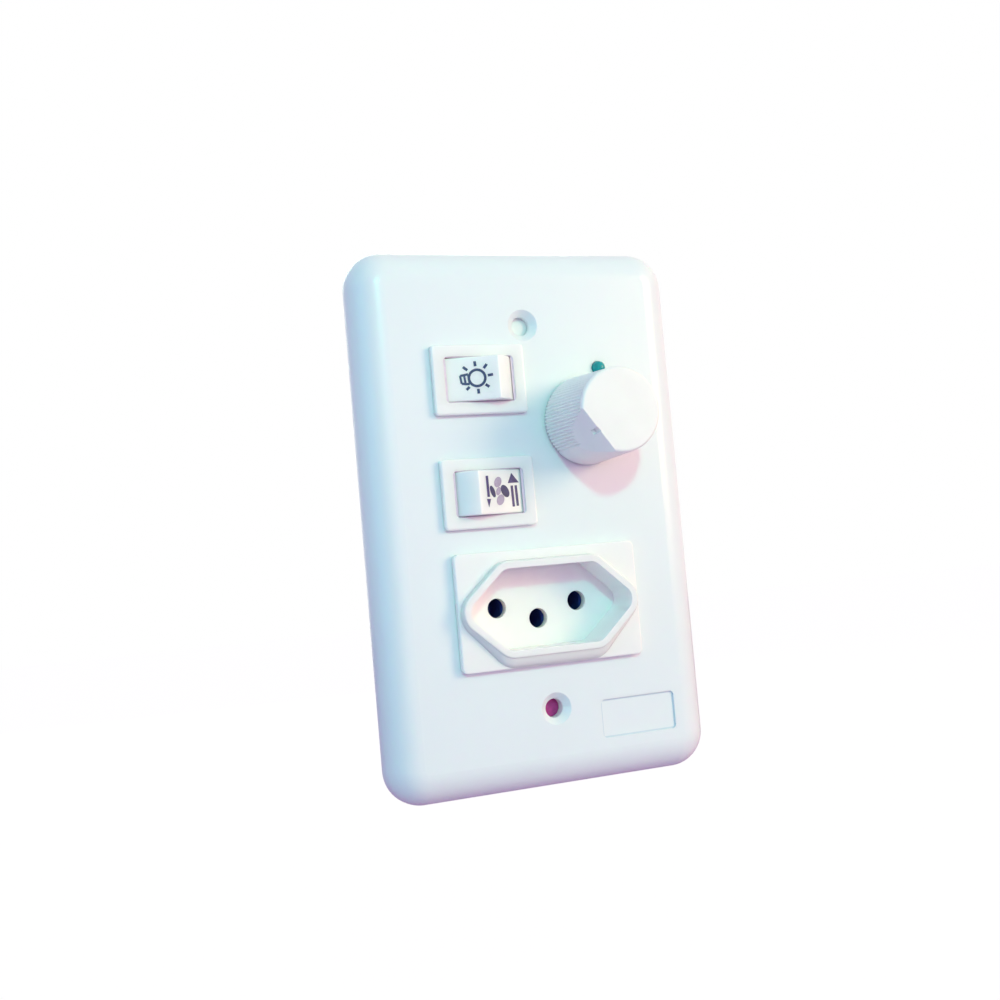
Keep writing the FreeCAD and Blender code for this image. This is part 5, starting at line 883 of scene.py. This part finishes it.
def add_strip(form, start, end, width):
    """A printed line with square ends, from one point to another."""
    start, end = Vector((*start, 0)), Vector((*end, 0))
    length = (end - start).length
    steps = max(2, round(length / STRIP_STEP))
    made = bmesh.ops.create_grid(form, x_segments=steps, y_segments=1, size=0.5)
    across = (end - start).normalized()
    turn = Matrix.Rotation(math.atan2(across.y, across.x), 3, "Z")
    bmesh.ops.scale(form, verts=made["verts"], vec=(length, width, 1))
    bmesh.ops.rotate(form, verts=made["verts"], cent=(0, 0, 0), matrix=turn)
    bmesh.ops.translate(form, verts=made["verts"], vec=(start + end) / 2)


def add_disc(form, middle, half_length, half_width, turn=0.0, segments=28):
    """A printed disc, or a blade when longer than wide."""
    made = bmesh.ops.create_circle(form, cap_ends=True, cap_tris=True, segments=segments, radius=1)
    bmesh.ops.scale(form, verts=made["verts"], vec=(half_length, half_width, 1))
    turn_verts(form, made["verts"], turn, "Z")
    bmesh.ops.translate(form, verts=made["verts"], vec=(*middle, 0))


def edges_of(verts):
    """The edges between the vertices of a circle, each once and in a fixed order."""
    return [edge for vertex in verts for edge in vertex.link_edges if edge.verts[0] == vertex]


def add_ring(form, middle, radius, line):
    """A printed circle."""
    outer = bmesh.ops.create_circle(form, segments=RING_SEGMENTS, radius=radius + line / 2)["verts"]
    inner = bmesh.ops.create_circle(form, segments=RING_SEGMENTS, radius=radius - line / 2)["verts"]
    bmesh.ops.bridge_loops(form, edges=edges_of(outer + inner))
    bmesh.ops.translate(form, verts=outer + inner, vec=(*middle, 0))


def add_triangle(form, corners):
    """A printed arrow head."""
    form.faces.new([form.verts.new((*corner, 0)) for corner in corners])


print("sign shapes ready")

# %% [markdown]
# The light rocker's sign is a lamp on its side, with its cap to the left and seven rays.
# One outline could hold it all, but the line is the same everywhere, so a ring and a few
# strips that overlap print the same.

# %% Lamp sign on the light rocker
BULB_MIDDLE = (0.91, 0.07)
BULB_RADIUS = 1.74
BULB_LINE = 0.56
CAP_LINE = 0.50
CAP_BAR = 0.46
RAY_LINE = 0.58
CAP_TOP = [(-2.66, 0.76), (-1.81, 0.86), (-0.94, 1.0)]
CAP_FOOT = [(-2.45, -0.93), (-1.61, -1.06), (-0.76, -1.11)]
RAYS = [((0.65, 3.66), (0.73, 2.58)), ((3.18, 2.85), (2.49, 2.01)), ((4.34, 0.55), (3.22, 0.43)),
        ((3.34, -2.04), (2.59, -1.43)), ((1.00, -3.29), (0.96, -2.28)),
        ((-1.53, -2.33), (-0.84, -1.70)), ((-1.91, 2.62), (-1.02, 1.84))]
lamp_sign = bmesh.new()
add_ring(lamp_sign, BULB_MIDDLE, BULB_RADIUS, BULB_LINE)
for row in (CAP_TOP, CAP_FOOT):
    for first, second in zip(row, row[1:]):
        add_strip(lamp_sign, first, second, CAP_LINE)
for top, foot in zip(CAP_TOP, CAP_FOOT):
    add_strip(lamp_sign, top, foot, CAP_BAR)
for far, near in RAYS:
    add_strip(lamp_sign, far, near, RAY_LINE)
lay_on_rocker(lamp_sign, "lamp_sign", "light_rocker", "sign_ink")

# %% [markdown]
# The reversing rocker's sign is a fan between an arrow down and a longer, double arrow up.
# The fan has two dark and two pale blades and a pale hub. It could be one piece with an
# ink picked by place, but the blades overlap, so each of the three inks is a piece.

# %% Fan and arrows on the reversing rocker
LEFT_BAR = 0.74
RIGHT_BAR = 0.66
FAN_WIDTH = 0.95
FAN_SHIFT = -0.05


def fit(x):
    """The sign drawn a little narrower, to end inside the ridge."""
    return FAN_WIDTH * x + FAN_SHIFT


fan_dark = bmesh.new()
add_disc(fan_dark, (fit(-2.13), 0.05), 1.34, 0.62, turn=-67)
add_disc(fan_dark, (fit(1.46), 0.05), 1.45, 0.98, turn=-58)
lay_on_rocker(fan_dark, "fan_dark_blades", "reverse_rocker", "sign_ink")
fan_pale = bmesh.new()
add_disc(fan_pale, (fit(-0.42), 2.02), 1.22, 0.92, turn=50)
add_disc(fan_pale, (fit(-0.05), -1.78), 1.25, 0.95, turn=50)
add_disc(fan_pale, (fit(-0.42), 0.08), 0.95, 0.62, turn=60)
lay_on_rocker(fan_pale, "fan_pale_blades", "reverse_rocker", "pale_ink")
arrows = bmesh.new()
add_strip(arrows, (fit(-3.54), 3.42), (fit(-3.48), -1.06), LEFT_BAR)
add_triangle(arrows, [(fit(-4.12), -1.44), (fit(-2.85), -1.50), (fit(-3.62), -3.30)])
add_triangle(arrows, [(fit(3.64), 3.90), (fit(2.42), 1.72), (fit(5.50), 1.78)])
add_strip(arrows, (fit(3.47), 1.17), (fit(3.56), -3.35), RIGHT_BAR)
add_strip(arrows, (fit(4.57), 1.18), (fit(4.71), -3.22), RIGHT_BAR)
lay_on_rocker(arrows, "direction_arrows", "reverse_rocker", "bar_ink")

# %% [markdown]
# The choke is wound with round enamelled wire. The CAD part has a plain loop for each turn.
# A curve with a bevel could give the wire. Here each turn is swept: a small circle is
# extruded along each side of the core's section and spun round each corner, which keeps
# the corners tight, as on a wound core.

# %% One turn of wire
WIRE_RADIUS = 0.40
WIRE_GAP = 0.1
WIRE_SEGMENTS = 10
CORNER = 0.55
BEND_STEPS = 4


def swept_loop(form, inner, outer, front, back):
    """A round wire round a rectangle in the plane of x (outwards) and y (depth)."""
    made = bmesh.ops.create_circle(form, segments=WIRE_SEGMENTS, radius=WIRE_RADIUS)
    turn_verts(form, made["verts"], 90, "X")
    bmesh.ops.translate(form, verts=made["verts"], vec=(inner, front + CORNER, 0))
    rim = edges_of(made["verts"])
    sides = [
        ((0, back - front - 2 * CORNER, 0), (inner + CORNER, back - CORNER, 0)),
        ((outer - inner - 2 * CORNER, 0, 0), (outer - CORNER, back - CORNER, 0)),
        ((0, -(back - front - 2 * CORNER), 0), (outer - CORNER, front + CORNER, 0)),
        ((-(outer - inner - 2 * CORNER), 0, 0), (inner + CORNER, front + CORNER, 0)),
    ]
    for step, centre in sides:
        run = bmesh.ops.extrude_edge_only(form, edges=rim)["geom"]
        verts = [item for item in run if isinstance(item, bmesh.types.BMVert)]
        rim = [item for item in run if isinstance(item, bmesh.types.BMEdge)]
        bmesh.ops.translate(form, verts=verts, vec=step)
        bend = bmesh.ops.spin(form, geom=rim, cent=centre, axis=(0, 0, -1),
                              angle=math.radians(90), steps=BEND_STEPS)["geom_last"]
        rim = [item for item in bend if isinstance(item, bmesh.types.BMEdge)]


print("wire", 2 * WIRE_RADIUS, "mm thick")

# %% [markdown]
# Sixteen turns are spread over most of the ring, and a gap is left where the two ends
# leave. An array could copy one turn, but a loop also keeps each turn's number.

# %% Wound choke
core_low, core_high = box_of("choke_core")
core_middle = Vector(((core_low[0] + core_high[0]) / 2, 0, (core_low[2] + core_high[2]) / 2))
CORE_OUTER = (core_high[0] - core_low[0]) / 2
CORE_INNER = 3.2
TURNS = 16
FIRST_TURN = 30.0
TURN_SPAN = 300.0
CLEAR = WIRE_GAP + WIRE_RADIUS
MERGE_DISTANCE = 0.01


def make_turn(number):
    """One turn of the winding as its own bmesh, turned to its place on the core."""
    loop = bmesh.new()
    swept_loop(loop, CORE_INNER - CLEAR, CORE_OUTER + CLEAR, core_low[1] - CLEAR, core_high[1] + CLEAR)
    bmesh.ops.remove_doubles(loop, verts=loop.verts, dist=MERGE_DISTANCE)
    turn_verts(loop, loop.verts, -(FIRST_TURN + TURN_SPAN * number / (TURNS - 1)), "Y")
    bmesh.ops.translate(loop, verts=loop.verts, vec=core_middle)
    return loop


winding = bmesh.new()
for number in range(TURNS):
    add_form(winding, make_turn(number))
print("turns", TURNS, "vertices", len(winding.verts))

# %% [markdown]
# The two ends of the wire leave the core, run to their holes and go through the board. A
# bent curve could follow them. The bends are sharp, so two rods with a ball where they
# meet are enough.

# %% Tails of the winding
TAIL_OUT = 0.9
TAIL_APART = 2.5
TAIL_RADIUS = 0.3
TAIL_END = 2.5
tail_x = core_middle.x + CORE_OUTER + TAIL_OUT
tail_depth = core_low[1] - WIRE_GAP


def add_ball(form, middle, radius):
    """A small ball that closes a bend."""
    made = bmesh.ops.create_icosphere(form, subdivisions=2, radius=radius)
    bmesh.ops.translate(form, verts=made["verts"], vec=middle)


for side in (-1, 1):
    hole = Vector((tail_x, TAIL_END, core_middle.z + TAIL_APART * side))
    bend = Vector((tail_x, tail_depth, hole.z))
    angle = math.radians(FIRST_TURN if side > 0 else FIRST_TURN + TURN_SPAN)
    leave = core_middle + Vector((math.cos(angle), 0, math.sin(angle))) * (CORE_OUTER + CLEAR)
    leave.y = tail_depth
    add_rod(winding, hole, bend, TAIL_RADIUS)
    add_ball(winding, bend, TAIL_RADIUS)
    add_rod(winding, bend, leave, TAIL_RADIUS)
wound_wire = finish_piece(winding, "wound_wire", "control", "copper")
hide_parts("choke_winding")

# %% [markdown]
# Each lead that comes through the board is soldered on the side towards the plate. Its
# place could be written down by hand. Here it is read from the lead's own vertices, so the
# joints stay right when the board changes.

# %% Places of the lead tails
TIP_REACH = 0.05
TAIL_WIDTH = 1.2
SOLDERED = ("triac", "gate_resistors", "lamp_resistor", "trigger_diode", "filter_capacitor",
            "timing_capacitor", "terminal_block", "choke_winding")


def tail_places(names):
    """Middles of the lead tails that end in front of the board, found by their vertices."""
    places = []
    for name in names:
        points = [vertex.co / MM for vertex in nodes[name].data.vertices]
        groups = []
        for tip in [point for point in points if point.y < TAIL_END + TIP_REACH]:
            near = [group for group in groups if (group[0] - tip).length < TAIL_WIDTH]
            if near:
                near[0].append(tip)
            else:
                groups.append([tip])
        for group in groups:
            low = Vector([min(tip[axis] for tip in group) for axis in range(3)])
            high = Vector([max(tip[axis] for tip in group) for axis in range(3)])
            places.append((low + high) / 2)
    return places


joints = tail_places(SOLDERED)
print("lead tails", len(joints))

# %% [markdown]
# Solder climbs a lead in a hollow slope. A spun profile would show that curve, but a joint
# is under two millimetres wide, so a flat cone with a steeper one on it reads the same.

# %% Solder joints
BOARD_FRONT = 3.4
JOINT_SEGMENTS = 16
JOINT_CONES = ((0.0, 0.28, 0.95, 0.58), (0.28, 0.62, 0.58, 0.36))
finishes["solder"] = make_finish(
    "solder", (0.58, 0.58, 0.57), 0.26, metal=1.0, spread=0.10, size=0.8, grain=0.3, lift=0.02)
solder = bmesh.new()
for tail in joints:
    for rise, height, foot, top in JOINT_CONES:
        made = bmesh.ops.create_cone(solder, cap_ends=True, cap_tris=False,
                                     segments=JOINT_SEGMENTS, radius1=foot, radius2=top,
                                     depth=height)
        turn_verts(solder, made["verts"], 90, "X")
        cone_middle = (tail.x, BOARD_FRONT - rise - height / 2, tail.z)
        bmesh.ops.translate(solder, verts=made["verts"], vec=cone_middle)
finish_piece(solder, "solder_joints", "control", "solder")

# %% [markdown]
# A light-emitting lamp has a small metal cup on one lead and a thin post on the other
# inside its dome, and the tint of the dome shows them as a darker core. The cup's hollow
# can't be seen through it, so both are plain round bars that start in the lens foot.

# %% Cup and post inside the lamp
LENS_FOOT = 0.4
CORE_OFFSET = 0.62
LAMP_BARS = ((-1, 0.42, 2.3), (1, 0.22, 2.6))
lamp_low, lamp_high = box_of("pilot_lamp")
lamp_middle = Vector(((lamp_low[0] + lamp_high[0]) / 2, 0, (lamp_low[2] + lamp_high[2]) / 2))
lamp_core = bmesh.new()
for side, radius, reach in LAMP_BARS:
    foot = lamp_middle + Vector((side * CORE_OFFSET, lamp_high[1] - LENS_FOOT, 0))
    tip = Vector((foot.x, lamp_high[1] - reach, foot.z))
    add_rod(lamp_core, foot, tip, radius)
finish_piece(lamp_core, "lamp_cup_and_post", "control", "spring_steel")
